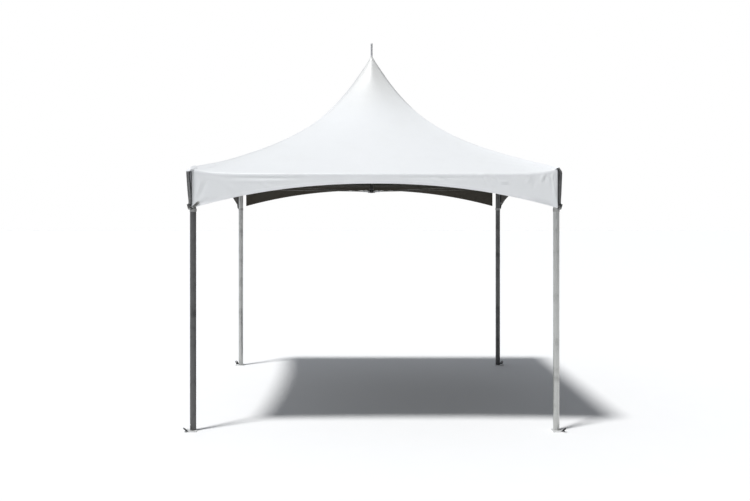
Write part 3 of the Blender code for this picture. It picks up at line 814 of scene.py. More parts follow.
def make_canopy():
    """One sheet: the roof all round, over the eave tubes and down to the scooped edge."""
    columns, rows, distances = cloth_columns(), cloth_rows(), run_down()
    margin = 0.00001
    form = Form()
    for index, side in enumerate(SIDES):
        low, high = SLITS[side]
        points, places = [], []
        for down, distance in zip(rows, distances):
            points.append([cloth(index, across, down) for across in columns])
            places.append([(taut(across, down).x, distance) for across in columns])

        def beyond_slit(i, j):
            x0, x1 = ROOF_HALF * columns[j], ROOF_HALF * columns[j + 1]
            return x0 < low - margin or x1 > high + margin

        roof_points, roof_places = points[:EAVE_ROW], places[:EAVE_ROW]
        form.grid([row[::2] for row in roof_points], [row[::2] for row in roof_places])
        for j in range(0, len(columns) - 1, 2):
            above, at_eave = EAVE_ROW - 1, EAVE_ROW
            ring = [(above, j), (at_eave, j), (at_eave, j + 1), (at_eave, j + 2), (above, j + 2)]
            form.face([form.bm.verts.new(points[i][k]) for i, k in ring], [places[i][k] for i, k in ring])
        form.grid(points[EAVE_ROW:], places[EAVE_ROW:], skip=beyond_slit)
    mesh = form.mesh("canopy", closed=False, weld=0.0002)
    replaced = [f"{part}_{side}" for part in ("roof_panel", "valance") for side in SIDES]
    canopy = put("canopy", mesh, (white_vinyl, painted_shade_lining), replaced)
    body = canopy.modifiers.new("Thickness", "SOLIDIFY")
    body.thickness = CLOTH_THICK
    body.offset = -1.0
    body.use_even_offset = False
    # The inner face takes the near-black lining: painted shade for the tent's shaded inside.
    body.material_offset = 1
    body.material_offset_rim = 0
    return canopy


def band_on_cloth(form, lines, rise, finish=0, sink=0.0004):
    """A thin welded band over rows of (side, across, down) places, thinner at its edges."""
    edge_rise = min(rise, max(rise * 0.35, 0.0007))
    top, low, places, run = [], [], [], 0.0
    for i, line in enumerate(lines):
        last = len(line) - 1
        end = i in (0, len(lines) - 1)
        rises = [edge_rise if end or j in (0, last) else rise for j in range(last + 1)]
        top.append([cloth(*spot, lift) for spot, lift in zip(line, rises)])
        low.append([cloth(*spot, -sink) for spot in line])
        if i:
            run += (top[i][last // 2] - top[i - 1][last // 2]).length
        widths = [0.0]
        for j in range(last):
            widths.append(widths[-1] + (top[-1][j + 1] - top[-1][j]).length)
        places.append([(width - widths[-1] / 2, run) for width in widths])
    form.strip(top, low, places, finish)


def hip_line(index, down, offsets):
    """Places across the hip between side index and the next, at signed distances from it."""
    half_width = max(taut(1.0, down).x, 0.004)
    line = []
    for offset in offsets:
        part = 1.0 - min(abs(offset) / half_width, 1.0)
        line.append((index, part, down) if offset < 0 else (index + 1, -part, down))
    return line


def add_hip_band(form, index, steps=70):
    """The welded seam down one hip."""
    lines = []
    for i in range(steps + 1):
        down = 0.014 + 0.984 * (i / steps) ** 1.1
        lines.append(hip_line(index, down, (-0.016, -0.014, -0.006, 0.006, 0.014, 0.016)))
    band_on_cloth(form, lines, 0.0008)


def add_centre_band(form, index, steps=70):
    """The narrower seam down the middle of one side."""
    lines = []
    for i in range(steps + 1):
        down = 0.014 + 0.97 * (i / steps) ** 1.1
        half_width = max(taut(1.0, down).x, 0.004)
        offsets = (-0.012, -0.010, 0.0, 0.010, 0.012)
        lines.append([(index, offset / half_width, down) for offset in offsets])
    band_on_cloth(form, lines, 0.0004, finish=1)


def add_corner_patch(form, index, steps=12):
    """The second layer of cloth at one corner, round at its upper end."""
    lines = []
    for i in range(steps + 1):
        down = 0.915 + 0.083 * i / steps
        wide = 0.082 * math.sqrt(max(0.02, 1.0 - (1.0 - min(1.0, i / 5)) ** 2))
        lines.append(hip_line(index, down, [wide * k / 6 for k in range(-6, 7)]))
    band_on_cloth(form, lines, 0.0013, sink=0.0011)


def add_hem(form, index, xs, outside):
    """The folded hem along one valance's lower edge, on its outside or its inside."""
    top, under, places, run = [], [], [], 0.0
    for x in xs:
        across = x / ROOF_HALF
        drop = taut(across, 2.0).z - scoop_z(x)
        face, core = [], []
        for j, height in enumerate(HEM_HEIGHTS):
            part = 3.0 - height / drop
            fold = HEM_FOLD * (0.35 if j == 0 else 1.0)
            face.append(cloth(index, across, part, fold if outside else -CLOTH_THICK - fold))
            core.append(cloth(index, across, part, -CLOTH_THICK / 2))
        for row in (face, core):
            row[-1].z -= 0.0012
        if top:
            run += (face[2] - top[-1][2]).length
        top.append(face)
        under.append(core)
        places.append([(0.0135 - height, run) for height in HEM_HEIGHTS])
    # The inside hem takes the near-black lining too: painted shade.
    form.strip(top, under, places, finish=0 if outside else 1)


def make_seams():
    """Welded hip seams, centre seams, eave seams, corner patches and the folded hem."""
    hips, patches, eaves, hem = Form(), Form(), Form(), Form()
    count = 150
    for index, side in enumerate(SIDES):
        add_hip_band(hips, index)
        add_centre_band(hips, index)
        add_corner_patch(patches, index)
        low, high = SLITS[side]
        xs = [low + 0.0005 + (high - low - 0.001) * i / count for i in range(count + 1)]
        lines = [[(index, x / ROOF_HALF, 1.0 + part) for part in (0.42, 0.5, 0.72, 0.94, 1.02)] for x in xs]
        band_on_cloth(eaves, lines, 0.0007)
        for outside in (True, False):
            add_hem(hem, index, xs, outside)
        add_corner_tab(patches, index)
    return [
        put("seam_bands", hips.mesh("seam_bands"), (welded_vinyl, white_vinyl)),
        put("corner_patches", patches.mesh("corner_patches"), (welded_vinyl,)),
        put("eave_bands", eaves.mesh("eave_bands"), (welded_vinyl,)),
        put("valance_hems", hem.mesh("valance_hems"), (welded_vinyl, painted_shade_lining)),
    ]


def corner_skin(index):
    """The cloth round one corner, unslit, for webbing to lie on."""
    parts = [0.90 + 0.10 * k / 20 for k in range(21)]
    across = [(index + 1, part) for part in parts] + [(index + 2, -part) for part in reversed(parts)]
    downs = [0.90 + 0.10 * k / 14 for k in range(14)]
    downs += [1.0 + k / 6 for k in range(6)] + [2.0 + k / 8 for k in range(9)]
    points = [cloth(side, part, down) for down in downs for side, part in across]
    wide = len(across)
    faces = [(i * wide + j, (i + 1) * wide + j, (i + 1) * wide + j + 1, i * wide + j + 1)
             for i in range(len(downs) - 1) for j in range(wide - 1)]
    return BVHTree.FromPolygons(points, faces)


def path_normal(path, i):
    """The outward normal of a path in the XZ plane."""
    ahead = (path[min(i + 1, len(path) - 1)] - path[max(i - 1, 0)]).normalized()
    return Vector((-ahead.z, 0.0, ahead.x))


def lay_strap(index):
    """One corner's place, its strap's path, and how far the cloth and the strap lie below the path."""
    matrix = quarter_turn(index) @ OUTWARDS
    skin = corner_skin(index)

    def to_cloth(here, out, y):
        start, aim = matrix @ (here + Vector((0.0, y, 0.0))), matrix.to_3x3() @ out
        hit = skin.ray_cast(start + aim * 0.02, -aim, 0.09)[0]
        return (start - hit).dot(aim) if hit else 0.0

    def to_strap(run, here, out, y):
        fold = min(1.0, max(0.0, (STRAP_FLAT_AFTER - run) / (STRAP_FLAT_AFTER - STRAP_FOLD_END)))
        return min(to_cloth(here, out, y) - STRAP_THICK, 0.021 * fold * abs(y) / WEB_HALF)

    return matrix, strap_path(STRAP_LEANS[index]), to_cloth, to_strap


def add_corner_tab(form, index):
    """The cloth tab that is sewn over a strap's upper end, at one corner."""
    matrix, path, to_cloth, to_strap = lay_strap(index)
    start = path[0] - path[1]
    path = [path[0] + start * 2.4, path[0] + start * 1.2] + path
    across = sorted([-y for y in TAB_PLACES[1:]] + list(TAB_PLACES))
    top, under, places, run = [], [], [], -2.4 * start.length
    for i, here in enumerate(path):
        if here.z < HIP_END_Z - TAB_DROPS[index]:
            break
        run += (here - path[i - 1]).length if i else 0.0
        out = path_normal(path, i)
        upper, lower = [], []
        for y in across:
            if i > 1 and abs(y) < 0.027:
                fall = to_strap(run, here, out, min(max(y, -WEB_HALF), WEB_HALF)) - STRAP_THICK - 0.0003
                sink = 0.0
            else:
                fall = to_cloth(here, out, y)
                sink = 0.0008
            point = here + Vector((0.0, y, 0.0)) - out * fall
            upper.append(matrix @ (point + out * (0.0006 if abs(y) > 0.039 else 0.0012)))
            lower.append(matrix @ (point - out * sink))
        top.append(upper)
        under.append(lower)
        places.append([(y, run) for y in across])
    form.strip(top, under, places)


def make_collar():
    """The sewn collar that closes the cloth round the pin, with a taped cuff."""
    rim = (COLLAR_R * 0.9 - TIP_R) / (ROOF_HALF - TIP_R)
    top = hip_z(0.0115) + 0.0042
    around = [(index, step / 8 - 1.0) for index in range(4) for step in range(16)]

    def on_cloth(down, lift):
        return [cloth(index, across, down, lift) for index, across in around]

    def level(radius, height):
        spokes = [Vector((point.x, point.y, 0.0)).normalized() for point in on_cloth(0.0, 0.0)]
        return [spoke * radius + UP * height for spoke in spokes]

    rings = [level(PIN_EYE_R, top), level(0.0115, top)]
    for k in range(8):
        ridge = 0.0004 if k % 4 == 2 else 0.0
        rings.append(on_cloth(rim * k / 8, 0.0024 - 0.0011 * k / 8 + ridge))
    rings += [on_cloth(rim * 0.97, 0.0011), on_cloth(rim, 0.0005), on_cloth(rim * 0.99, -0.0008)]
    rings += [on_cloth(0.0, -0.0004), level(PIN_EYE_R, top - 0.0036), level(PIN_EYE_R, top)]
    run, places = 0.0, []
    for i, ring in enumerate(rings):
        run += (ring[0] - rings[i - 1][0]).length if i else 0.0
        places.append([(0.003 * j, run) for j in range(len(around) + 1)])
    form = Form()
    form.grid(rings, places, wrap=True)
    form.turned([
        (PIN_EYE_R, top - 0.001), (0.0106, top - 0.001), (0.0108, top), (0.0106, top + 0.0045),
        (0.0103, top + 0.0052), (PIN_EYE_R, top + 0.0052),
    ], sides=32, ring=True, finish=1)
    return put("peak_boot", form.mesh("peak_boot"), (welded_vinyl, white_vinyl), ("peak_collar",))


def make_mast():
    """Pin, mast and the foot that the cables carry."""
    pin = Form()
    pin.turned([
        (0.0012, PIN_TOP_Z), (0.0052, PIN_TOP_Z - 0.0006), (0.0078, PIN_TOP_Z - 0.0026),
        (PIN_R - 0.0004, PIN_TOP_Z - 0.006), (PIN_R, PIN_TOP_Z - 0.012), (PIN_R, 3.322), (0.0125, 3.321),
        (0.0125, 3.3185), (0.0195, 3.302), (0.0222, 3.296), (0.0222, MAST_TOP_Z + 0.0006),
        (SPIGOT_R, MAST_TOP_Z + 0.0003), (SPIGOT_R, MAST_TOP_Z - 0.05), (0.001, MAST_TOP_Z - 0.05),
    ], sides=40)
    put("mast_pin", pin.mesh("mast_pin"), (pin_aluminium,), ("peak_pin",))
    tube = Form()
    tube.turned([
        (MAST_R - 0.0005, MAST_TOP_Z), (MAST_R, MAST_TOP_Z - 0.0006), (MAST_R, MAST_BOTTOM_Z + 0.0009),
        (MAST_R - 0.0005, MAST_BOTTOM_Z + 0.0003), (0.016, MAST_BOTTOM_Z + 0.0003), (0.016, MAST_TOP_Z),
    ], sides=48, ring=True)
    dome = [(0.0042, 0.0), (0.0040, 0.0012), (0.0030, 0.0022), (0.0012, 0.0028)]
    for height in (MAST_BOTTOM_Z + 0.045, MAST_TOP_Z - 0.035):
        for turn in (0, 180):
            around = Matrix.Rotation(math.radians(turn), 4, "Z")
            rivet = around @ Matrix.Translation((MAST_R - 0.0008, 0.0, height)) @ ALONG_X
            tube.turned(dome, rivet, 16, finish=1)
    put("mast_tube", tube.mesh("mast_tube"), (mast_painted_shade, dark_plate), ("mast",))
    foot = Form()
    foot.turned([
        (SPIGOT_R, MAST_BOTTOM_Z + 0.05), (SPIGOT_R, MAST_BOTTOM_Z), (MAST_R - 0.0006, MAST_BOTTOM_Z),
        (MAST_R, MAST_BOTTOM_Z - 0.0008), (MAST_R, MAST_BOTTOM_Z - 0.006), (0.0172, MAST_BOTTOM_Z - 0.009),
        (0.0150, MAST_BOTTOM_Z - 0.0115), (0.0145, MAST_BOTTOM_Z - 0.014), (0.0145, FOOT_Z + 0.0025),
        (0.0135, FOOT_Z + 0.0008), (0.0115, FOOT_Z),
    ], sides=40)
    for index in range(4):
        turn = Matrix.Rotation(math.radians(45 + 90 * index), 4, "Z")
        lug_on(foot, FOOT_PIN_REACH, FOOT_PIN_Z, turn, 0.0145)
    put("mast_socket", foot.mesh("mast_socket"), (dark_plate, dark_plate), ("mast_foot",))


def lug_on(form, reach, height, matrix, root):
    """An upright lug plate with a cross hole, and the weld beads at its root."""
    raised = matrix @ Matrix.Translation((0.0, 0.0, height))
    outline = round_ended(root - 0.003, reach, LUG_HALF)
    form.plate(outline, LUG_THICK, raised @ ALONG_Y, [(reach, 0.0, LUG_HOLE_R)])
    for side in (-1, 1):
        bead = []
        for i in range(15):
            z = LUG_HALF * (i / 7 - 1.0)
            swell = 0.0004 * math.sin(i * 2.4)
            bead.append(Vector((root + 0.0002 + swell, side * (LUG_THICK / 2 + 0.0004), z)))
        form.swept(bead, circle(0.0018, 8), finish=1, up=Vector((1.0, 0.0, 0.0)), matrix=raised)


def weld_ring(form, path, radius, matrix, finish=1, up=UP):
    """A weld bead with its ripples, along a closed path."""
    count = len(path)
    rows, places, run = [], [], 0.0
    for i, here in enumerate(path):
        before, after = path[i - 1], path[(i + 1) % count]
        ahead = (after - before).normalized()
        aside = ahead.cross(up).normalized()
        above = aside.cross(ahead)
        size = radius * (1.0 + 0.16 * math.sin(i * math.pi / 2))
        rows.append([matrix @ (here + aside * x + above * y) for x, y in circle(size, 7)])
        run += (here - before).length
        places.append([(size * k, run) for k in range(8)])
    rows.append(rows[0])
    places.append(places[0])
    form.grid(rows, places, finish, wrap=True)


def make_crowns():
    """Corner fittings: domed stem, two eave arms, cable lug, welds and set bolts."""
    corner = Matrix.Translation((LEG, LEG, EAVE_Z))
    chamfer, spigot, spigot_length = 0.0008, BORE_R - FIT, 0.05
    form = Form()
    dome = []
    for i in range(11):
        angle = math.pi / 2 * (i + 0.4) / 10.4
        dome.append((TUBE_R * math.sin(angle), DOME_RISE + TUBE_R * math.cos(angle)))
    form.turned(dome + [
        (TUBE_R, -STEM_DOWN + chamfer), (TUBE_R - chamfer, -STEM_DOWN), (spigot, -STEM_DOWN),
        (spigot, -STEM_DOWN - spigot_length), (0.002, -STEM_DOWN - spigot_length),
    ], corner, 48)
    for turn in (ALONG_X, Matrix.Rotation(-math.pi / 2, 4, "X")):
        form.turned([
            (TUBE_R - 0.0004, -0.012), (TUBE_R - 0.0004, -ARM_LENGTH + chamfer),
            (TUBE_R - chamfer, -ARM_LENGTH), (spigot, -ARM_LENGTH),
            (spigot, -ARM_LENGTH - spigot_length), (0.002, -ARM_LENGTH - spigot_length),
        ], corner @ turn, 48)
    for axis in (0, 1):
        saddle = []
        for aside, up in circle(TUBE_R, 64):
            out = math.sqrt(max(TUBE_R ** 2 - aside ** 2, 0.0)) + 0.0006
            saddle.append(Vector((-out, aside, up) if axis == 0 else (aside, -out, up)))
        outwards = Vector((1.0, 0.0, 0.0) if axis == 0 else (0.0, 1.0, 0.0))
        weld_ring(form, saddle, 0.0021, corner, up=outwards)
    inwards = corner @ Matrix.Rotation(math.radians(225), 4, "Z")
    lug_on(form, CROWN_PIN_REACH, CROWN_PIN_Z - EAVE_Z, inwards, TUBE_R)
    for turn in (180, 270):
        side = Matrix.Rotation(math.radians(turn), 4, "Z")
        bolt = corner @ side @ Matrix.Translation((ARM_LENGTH - 0.02, 0.0, -TUBE_R + 0.001))
        form.bolt(bolt @ UPSIDE_DOWN, 0.0035, 0.003, finish=2)
    finishes = (zinc_steel, weld_bead, bright_bolt)
    put_four("corner_fitting", form.mesh("crown"), finishes, "corner_crown")


def tube_profile(bottom, top):
    """A hollow tube with its cut ends dressed."""
    dressed = 0.0006
    return [
        (TUBE_R - dressed, top), (TUBE_R, top - dressed), (TUBE_R, bottom + dressed),
        (TUBE_R - dressed, bottom), (BORE_R, bottom), (BORE_R, top),
    ]


def make_legs():
    """Legs, each with spring buttons near both ends. Two of the four take a darker copy of the tube finish:
    painted shade.
    """
    form = Form()
    bottom, top = PLATE_THICK + FIT, EAVE_Z - STEM_DOWN - FIT
    form.turned(tube_profile(bottom, top), CORNER_POST, 56, ring=True)
    button = [(0.0046, 0.0), (0.0045, 0.0016), (0.0038, 0.0028), (0.0022, 0.0035), (0.0006, 0.0037)]
    rim = [Vector((x, y, 0.0004)) for x, y in circle(0.0052, 18)]
    for height in (top - 0.035, bottom + 0.045):
        for turn in (225, 45):
            around = CORNER_POST @ Matrix.Rotation(math.radians(turn), 4, "Z")
            spot = around @ Matrix.Translation((TUBE_R - 0.0006, 0.0, height)) @ ALONG_X
            form.turned(button, spot, 18, finish=1)
            weld_ring(form, rim, 0.0006, spot, finish=0)
    put_four("leg_tube", form.mesh("leg"), (aluminium, zinc_steel), "leg")
    # The front left and back right legs get the darker copy: painted shade, not weathering.
    for corner in ("front_left", "back_right"):
        bpy.data.objects[f"leg_tube_{corner}"].data.materials[0] = painted_shade_aluminium


def make_eave_rails():
    """Eave tubes, each with a bolt under both ends."""
    form = Form()
    half = LEG - ARM_LENGTH - FIT
    form.turned(tube_profile(-half, half), Matrix.Translation((0.0, -LEG, EAVE_Z)) @ ALONG_X, 56, ring=True)
    for x in (-half + 0.035, half - 0.035):
        spot = Matrix.Translation((x, -LEG, EAVE_Z - TUBE_R + 0.0008))
        form.bolt(spot @ UPSIDE_DOWN, 0.0035, 0.003, finish=1)
    put_four("eave_rail", form.mesh("eave"), (rail_painted_shade, bright_bolt), "eave_tube", SIDES)


def make_base_plates():
    """Base plates: stub, stake holes, bent tie lug and its weld."""
    form = Form()
    edge = PLATE_SHIFT + PLATE_SIDE / 2
    far, near = edge - STAKE_HOLE_INSET, PLATE_SHIFT - PLATE_SIDE / 2 + STAKE_HOLE_INSET
    holes = [(far, near, STAKE_HOLE_R), (near, far, STAKE_HOLE_R)]
    flat = CORNER_POST @ Matrix.Translation((0.0, 0.0, PLATE_THICK / 2))
    square = rounded_square(PLATE_SIDE / 2, PLATE_CORNER, PLATE_SHIFT)
    form.plate(square, PLATE_THICK, flat, holes, edge=0.0008)
    foot = PLATE_THICK - 0.001
    stub = [(STUB_R, STUB_TOP_Z), (STUB_R, foot), (0.002, foot), (0.002, STUB_TOP_Z)]
    form.turned(stub, CORNER_POST, 40, ring=True)
    root = edge * math.sqrt(2) - TIE_LUG_ROOT
    tilt = Matrix.Translation((root, 0.0, PLATE_THICK / 2)) @ Matrix.Rotation(-math.radians(45), 4, "Y")
    outline = round_ended(0.003, TIE_LUG_LENGTH, TIE_LUG_HALF)
    hole = (TIE_LUG_LENGTH, 0.0, TIE_LUG_HOLE_R)
    form.plate(outline, PLATE_THICK, OUTWARDS @ tilt, [hole], edge=0.0008, finish=2)
    for offset in (-0.0045, 0.0065):
        seam = []
        for i in range(19):
            height = PLATE_THICK + 0.0004 + 0.0003 * math.sin(i * 2.2)
            seam.append(OUTWARDS @ Vector((root + offset, 0.0155 * (i / 9 - 1.0), height)))
        form.swept(seam, circle(0.0021, 8), finish=1)
    finishes = (plate_steel, weld_bead, dark_plate)
    put_four("foot_plate", form.mesh("foot"), finishes, "base_plate")


def add_fork(form, end):
    """A fork with its pin and split ring. The pin's place is the end's origin, and the fork runs along X."""
    inner, outer = LUG_THICK / 2 + FIT, LUG_THICK / 2 + 0.0043
    eye, side_points = 0.0083, [(0.012, 0.0083), (0.022, 0.0078), (0.028, 0.0060)]
    outline = list(reversed(side_points))
    for k in range(13):
        angle = math.pi / 2 + math.pi * k / 12
        outline.append((eye * math.cos(angle), eye * math.sin(angle)))
    outline += [(x, -y) for x, y in side_points]
    for side in (-1, 1):
        cheek = end @ Matrix.Translation((0.0, side * (inner + outer) / 2, 0.0)) @ ALONG_Y
        form.plate(outline, outer - inner, cheek, [(0.0, 0.0, LUG_HOLE_R - 0.0002)], edge=0.0007)
    form.block((0.010, 2 * outer - 0.0012, 0.013), (0.0225, 0.0, 0.0), end, edge=0.0016)
    pin, reach = end @ ALONG_Y, outer + 0.002
    form.turned([
        (0.0034, -reach), (0.0041, -reach + 0.0006), (0.0041, reach - 0.0012), (0.0064, reach - 0.0012),
        (0.0064, reach), (0.0055, reach + 0.0004),
    ], pin, 24, finish=2)
    ring = [Vector((x, y, -reach + 0.0012)) for x, y in circle(0.0052, 20)]
    weld_ring(form, ring, 0.0008, pin, finish=2)


def add_ferrules(form, lathe, length):
    """The swaged ferrules at the rope's two ends, each pressed in five places."""
    lower = [(0.0052, 0.024), (0.0065, 0.026), (0.0065, 0.034)]
    for k in range(5):
        press = 0.036 + 0.008 * k
        lower += [(0.0058, press), (0.0058, press + 0.004), (0.0064, press + 0.005), (0.0064, press + 0.0065)]
    form.turned(lower + [(0.0060, 0.0785), (0.0045, 0.080)], lathe, 28)
    upper = [(0.0045, length - 0.270), (0.0060, length - 0.2685)]
    for k in range(5):
        press = length - 0.266 + 0.009 * k
        upper += [(0.0064, press), (0.0064, press + 0.0015), (0.0058, press + 0.003), (0.0058, press + 0.007)]
    form.turned(upper + [(0.0062, length - 0.2195), (0.0048, length - 0.218)], lathe, 28)


def add_turnbuckle(form, along, lathe, length):
    """An open turnbuckle: two threaded rods, two hubs, the bars between them and two lock nuts."""
    for low, high in ((length - 0.219, length - 0.150), (length - 0.120, length - 0.024)):
        thread, z = [(0.0028, low)], low + 0.0006
        while z < high - 0.0012:
            thread += [(0.0032, z), (0.0038, z + 0.0007)]
            z += 0.0015
        thread.append((0.0028, high))
        form.turned(thread, lathe, 16, finish=2)
    low_end, high_end, hub_length = length - 0.2, length - 0.07, 0.016
    for low, high in ((low_end, low_end + hub_length), (high_end - hub_length, high_end)):
        hub = [(0.0045, low), (0.0078, low + 0.0008), (0.0084, low + 0.003)]
        hub += [(0.0084, high - 0.003), (0.0078, high - 0.0008), (0.0045, high)]
        form.turned(hub, lathe, 6)
    bends = [(0.003, 0.0058), (0.012, 0.0070), (0.024, 0.0076)]
    bar = [(low_end + x, y) for x, y in bends] + [((low_end + high_end) / 2, 0.0078)]
    bar += [(high_end - x, y) for x, y in reversed(bends)]
    for side in (-1, 1):
        path = [along @ Vector((x, side * y, 0.0)) for x, y in bar]
        form.swept(smooth_path(path, 0.006), circle(0.0021, 12, high=0.0040))
    for z in (low_end - 0.006, high_end + 0.0005):
        nut = [(0.0058, z), (0.0064, z + 0.0005), (0.0064, z + 0.005), (0.0058, z + 0.0055)]
        form.turned(nut, lathe, 6, finish=2)


def add_rope(form, along, start, end):
    """Wire rope of six strands, laid round each other."""
    turns_per_metre, strands, steps = 26, 6, 300
    section = []
    for strand in range(strands):
        for k in (-0.38, -0.13, 0.13, 0.38):
            angle = 2 * math.pi * (strand + k) / strands
            radius = 0.0019 + 0.0011 * math.cos(2.6 * k)
            section.append((radius * math.cos(angle), radius * math.sin(angle)))
    run = end - start
    path = [along @ Vector((start + run * i / steps, 0.0, 0.0)) for i in range(steps + 1)]
    form.swept(path, section, finish=1, turns=turns_per_metre * run)


def make_cables():
    """Cross cables: fork and pin, swaged ferrule, laid rope, open turnbuckle, fork and pin."""
    diagonal = Vector((1.0, 1.0, 0.0)).normalized()
    start = diagonal * FOOT_PIN_REACH + UP * FOOT_PIN_Z
    end = diagonal * (LEG * math.sqrt(2) - CROWN_PIN_REACH) + UP * CROWN_PIN_Z
    length = (end - start).length
    rise = math.asin((end.z - start.z) / length)
    heading = Matrix.Rotation(math.radians(45), 4, "Z") @ Matrix.Rotation(-rise, 4, "Y")
    along = Matrix.Translation(start) @ heading
    back = along @ Matrix.Translation((length, 0.0, 0.0)) @ Matrix.Rotation(math.pi, 4, "Z")
    form = Form()
    for fork in (along, back):
        add_fork(form, fork)
    add_ferrules(form, along @ ALONG_X, length)
    add_turnbuckle(form, along, along @ ALONG_X, length)
    add_rope(form, along, 0.078, length - 0.268)
    put_four("wire_stay", form.mesh("stay"), (zinc_steel, rope_wire, bright_bolt), "cable")


def web_section(width, thick):
    """Webbing seen end on, its edges rounded."""
    half, soft, count = width / 2, thick / 2, 8
    edge = []
    for side in (1, -1):
        for k in range(5):
            angle = math.pi / 2 * (k / 2 - side)
            edge.append((side * (half - soft) + soft * math.cos(angle), soft * math.sin(angle)))
        for k in range(1, count):
            edge.append((side * (half - soft) * (1.0 - 2.0 * k / count), side * soft))
    return edge


def web_strip(form, path, width, thick, matrix, fall=None, taper=None):
    """Webbing along a path in the XZ plane, its inner face on the path, or as far below it as fall says."""
    section = web_section(width, thick)
    points, places, run = [], [], 0.0
    for i, here in enumerate(path):
        out = path_normal(path, i)
        run += (here - path[i - 1]).length if i else 0.0
        narrow = taper(run) if taper else 1.0
        row = []
        for y, lift in section:
            drop = fall(run, here, out, y) if fall else 0.0
            row.append(matrix @ (here + Vector((0.0, y * narrow, 0.0)) + out * (thick / 2 + lift - drop)))
        points.append(row)
        places.append([(y, run) for y, _ in section] + [(section[0][0], run)])
    rows = form.grid(points, places, wrap=True)
    form.cap(rows[0][::-1])
    form.cap(rows[-1])


def stitch_line(form, start, end, matrix, pitch=0.0035):
    """A row of raised stitches between two points."""
    run = end - start
    count = max(1, int(run.length / pitch))
    ahead = run.normalized()
    across = Vector((0.0, 1.0, 0.0)) if abs(ahead.y) < 0.9 else UP
    out = ahead.cross(across).normalized()
    out = out if out.x > 0 else -out
    for k in range(count):
        low = start + run * (k + 0.18) / count
        high = start + run * (k + 0.82) / count
        path = [matrix @ low, matrix @ ((low + high) / 2 + out * 0.0006), matrix @ high]
        form.swept(path, circle(0.00045, 5), 1, up=(matrix.to_3x3() @ out))


def strap_path(lean):
    """The strap's inner face in the corner's diagonal plane: outwards from the leg, and height."""
    corner = (ROOF_HALF - LEG) * math.sqrt(2)
    points = []
    for reach, lift in ((-0.022, 0.0008), (-0.002, 0.0012)):
        points.append((reach, hip_z(LEG + reach / math.sqrt(2)) + lift))
    points.append((corner + 0.001, HIP_END_Z + 0.0014))
    for reach, drop in STRAP_BEND:
        points.append((reach + lean * min(1.0, drop / 0.02) * (1.0 - drop / 0.3), HIP_END_Z - drop))
    points += [(0.0305, RATCHET_TOP_Z + 0.04), (0.0300, RATCHET_TOP_Z + 0.006), (0.0345, RATCHET_Z + 0.014)]
    return smooth_path([Vector((x, 0.0, z)) for x, z in points], 0.006)


def add_sewn_patch(form, path, matrix):
    """The second layer of webbing near a strap's upper end, sewn on with a box and a cross."""
    patch = [point for point in path if HIP_END_Z - 0.125 < point.z < HIP_END_Z - 0.045]
    lift = Vector((STRAP_THICK, 0.0, 0.0))
    web_strip(form, [point + lift for point in patch], 2 * WEB_HALF - 0.006, 0.0014, matrix)
    face = lift + Vector((0.0016, 0.0, 0.0))
    top, low = patch[0] + face, patch[-1] + face
    for y in (-0.020, 0.020):
        stitch_line(form, top + Vector((0.0, y, -0.004)), low + Vector((0.0, y, 0.004)), matrix)
    for level in (top - UP * 0.004, low + UP * 0.004):
        stitch_line(form, level + Vector((0.0, -0.019, 0.0)), level + Vector((0.0, 0.019, 0.0)), matrix)
    for y in (0.019, -0.019):
        stitch_line(form, top + Vector((0.0, y, -0.006)), low + Vector((0.0, -y, 0.006)), matrix)


def make_straps():
    """Corner straps, each laid over its hip and down to its ratchet."""
    for index, corner in enumerate(CORNERS):
        form = Form()
        matrix, path, _, to_strap = lay_strap(index)
        length = sum((path[i + 1] - path[i]).length for i in range(len(path) - 1))

        def narrowing(run):
            return 1.0 - 0.2 * min(1.0, max(0.0, (run - length + 0.09) / 0.08))

        web_strip(form, path, 2 * WEB_HALF, STRAP_THICK, matrix, to_strap, narrowing)
        add_sewn_patch(form, path, matrix)
        finishes, replaced = (black_webbing, thread), (f"corner_strap_{corner}",)
        put(f"corner_web_{corner}", form.mesh("strap"), finishes, replaced)


def make_leg_bands():
    """The webbing loops round the legs, each with its lapped end on the inner side."""
    form = Form()
    inner, outer = TUBE_R + FIT, TUBE_R + 0.0021
    half, middle = (LOOP_TOP_Z - LOOP_BOTTOM_Z) / 2, (LOOP_TOP_Z + LOOP_BOTTOM_Z) / 2
    section = [
        (outer, -half + 0.0008), (outer + 0.0002, 0.0), (outer, half - 0.0008), (outer - 0.0007, half),
        (inner, half - 0.0006), (inner, -half + 0.0006), (outer - 0.0007, -half),
    ]
    sides = 64
    rows, places = [], []
    for j in range(sides + 1):
        angle = 2 * math.pi * (j % sides) / sides
        swell = 0.0002 * math.sin(5 * angle)
        line = []
        for radius, height in section:
            wide = radius + (swell if radius > inner else 0.0)
            point = Vector((wide * math.cos(angle), wide * math.sin(angle), middle + height))
            line.append(CORNER_POST @ point)
        rows.append(line)
        places.append([(height, 2 * math.pi * outer * j / sides) for _, height in section + section[:1]])
    form.grid(rows, places, wrap=True)
    lap = [(0.0, 0.002), (0.0016, 0.003), (0.0018, half), (0.0016, 2 * half - 0.003), (0.0, 2 * half - 0.002)]
    upper, under, marks = [], [], []
    for k in range(13):
        angle = math.radians(150 + 60 * k / 12)
        point = Vector((math.cos(angle), math.sin(angle), 0.0)) * (outer + FIT)
        heights = [UP * (middle + half - down) for _, down in lap]
        raised = [point * (1.0 + lift / outer) for lift, _ in lap]
        upper.append([CORNER_POST @ (spot + up) for spot, up in zip(raised, heights)])
        under.append([CORNER_POST @ (point * (1.0 - 0.0004 / outer) + up) for up in heights])
        marks.append([(half * (1.0 - 0.5 * j), 0.004 * k) for j in range(len(lap))])
    form.strip(upper, under, marks)
    put_four("leg_band", form.mesh("band"), (grey_webbing,), "leg_loop")


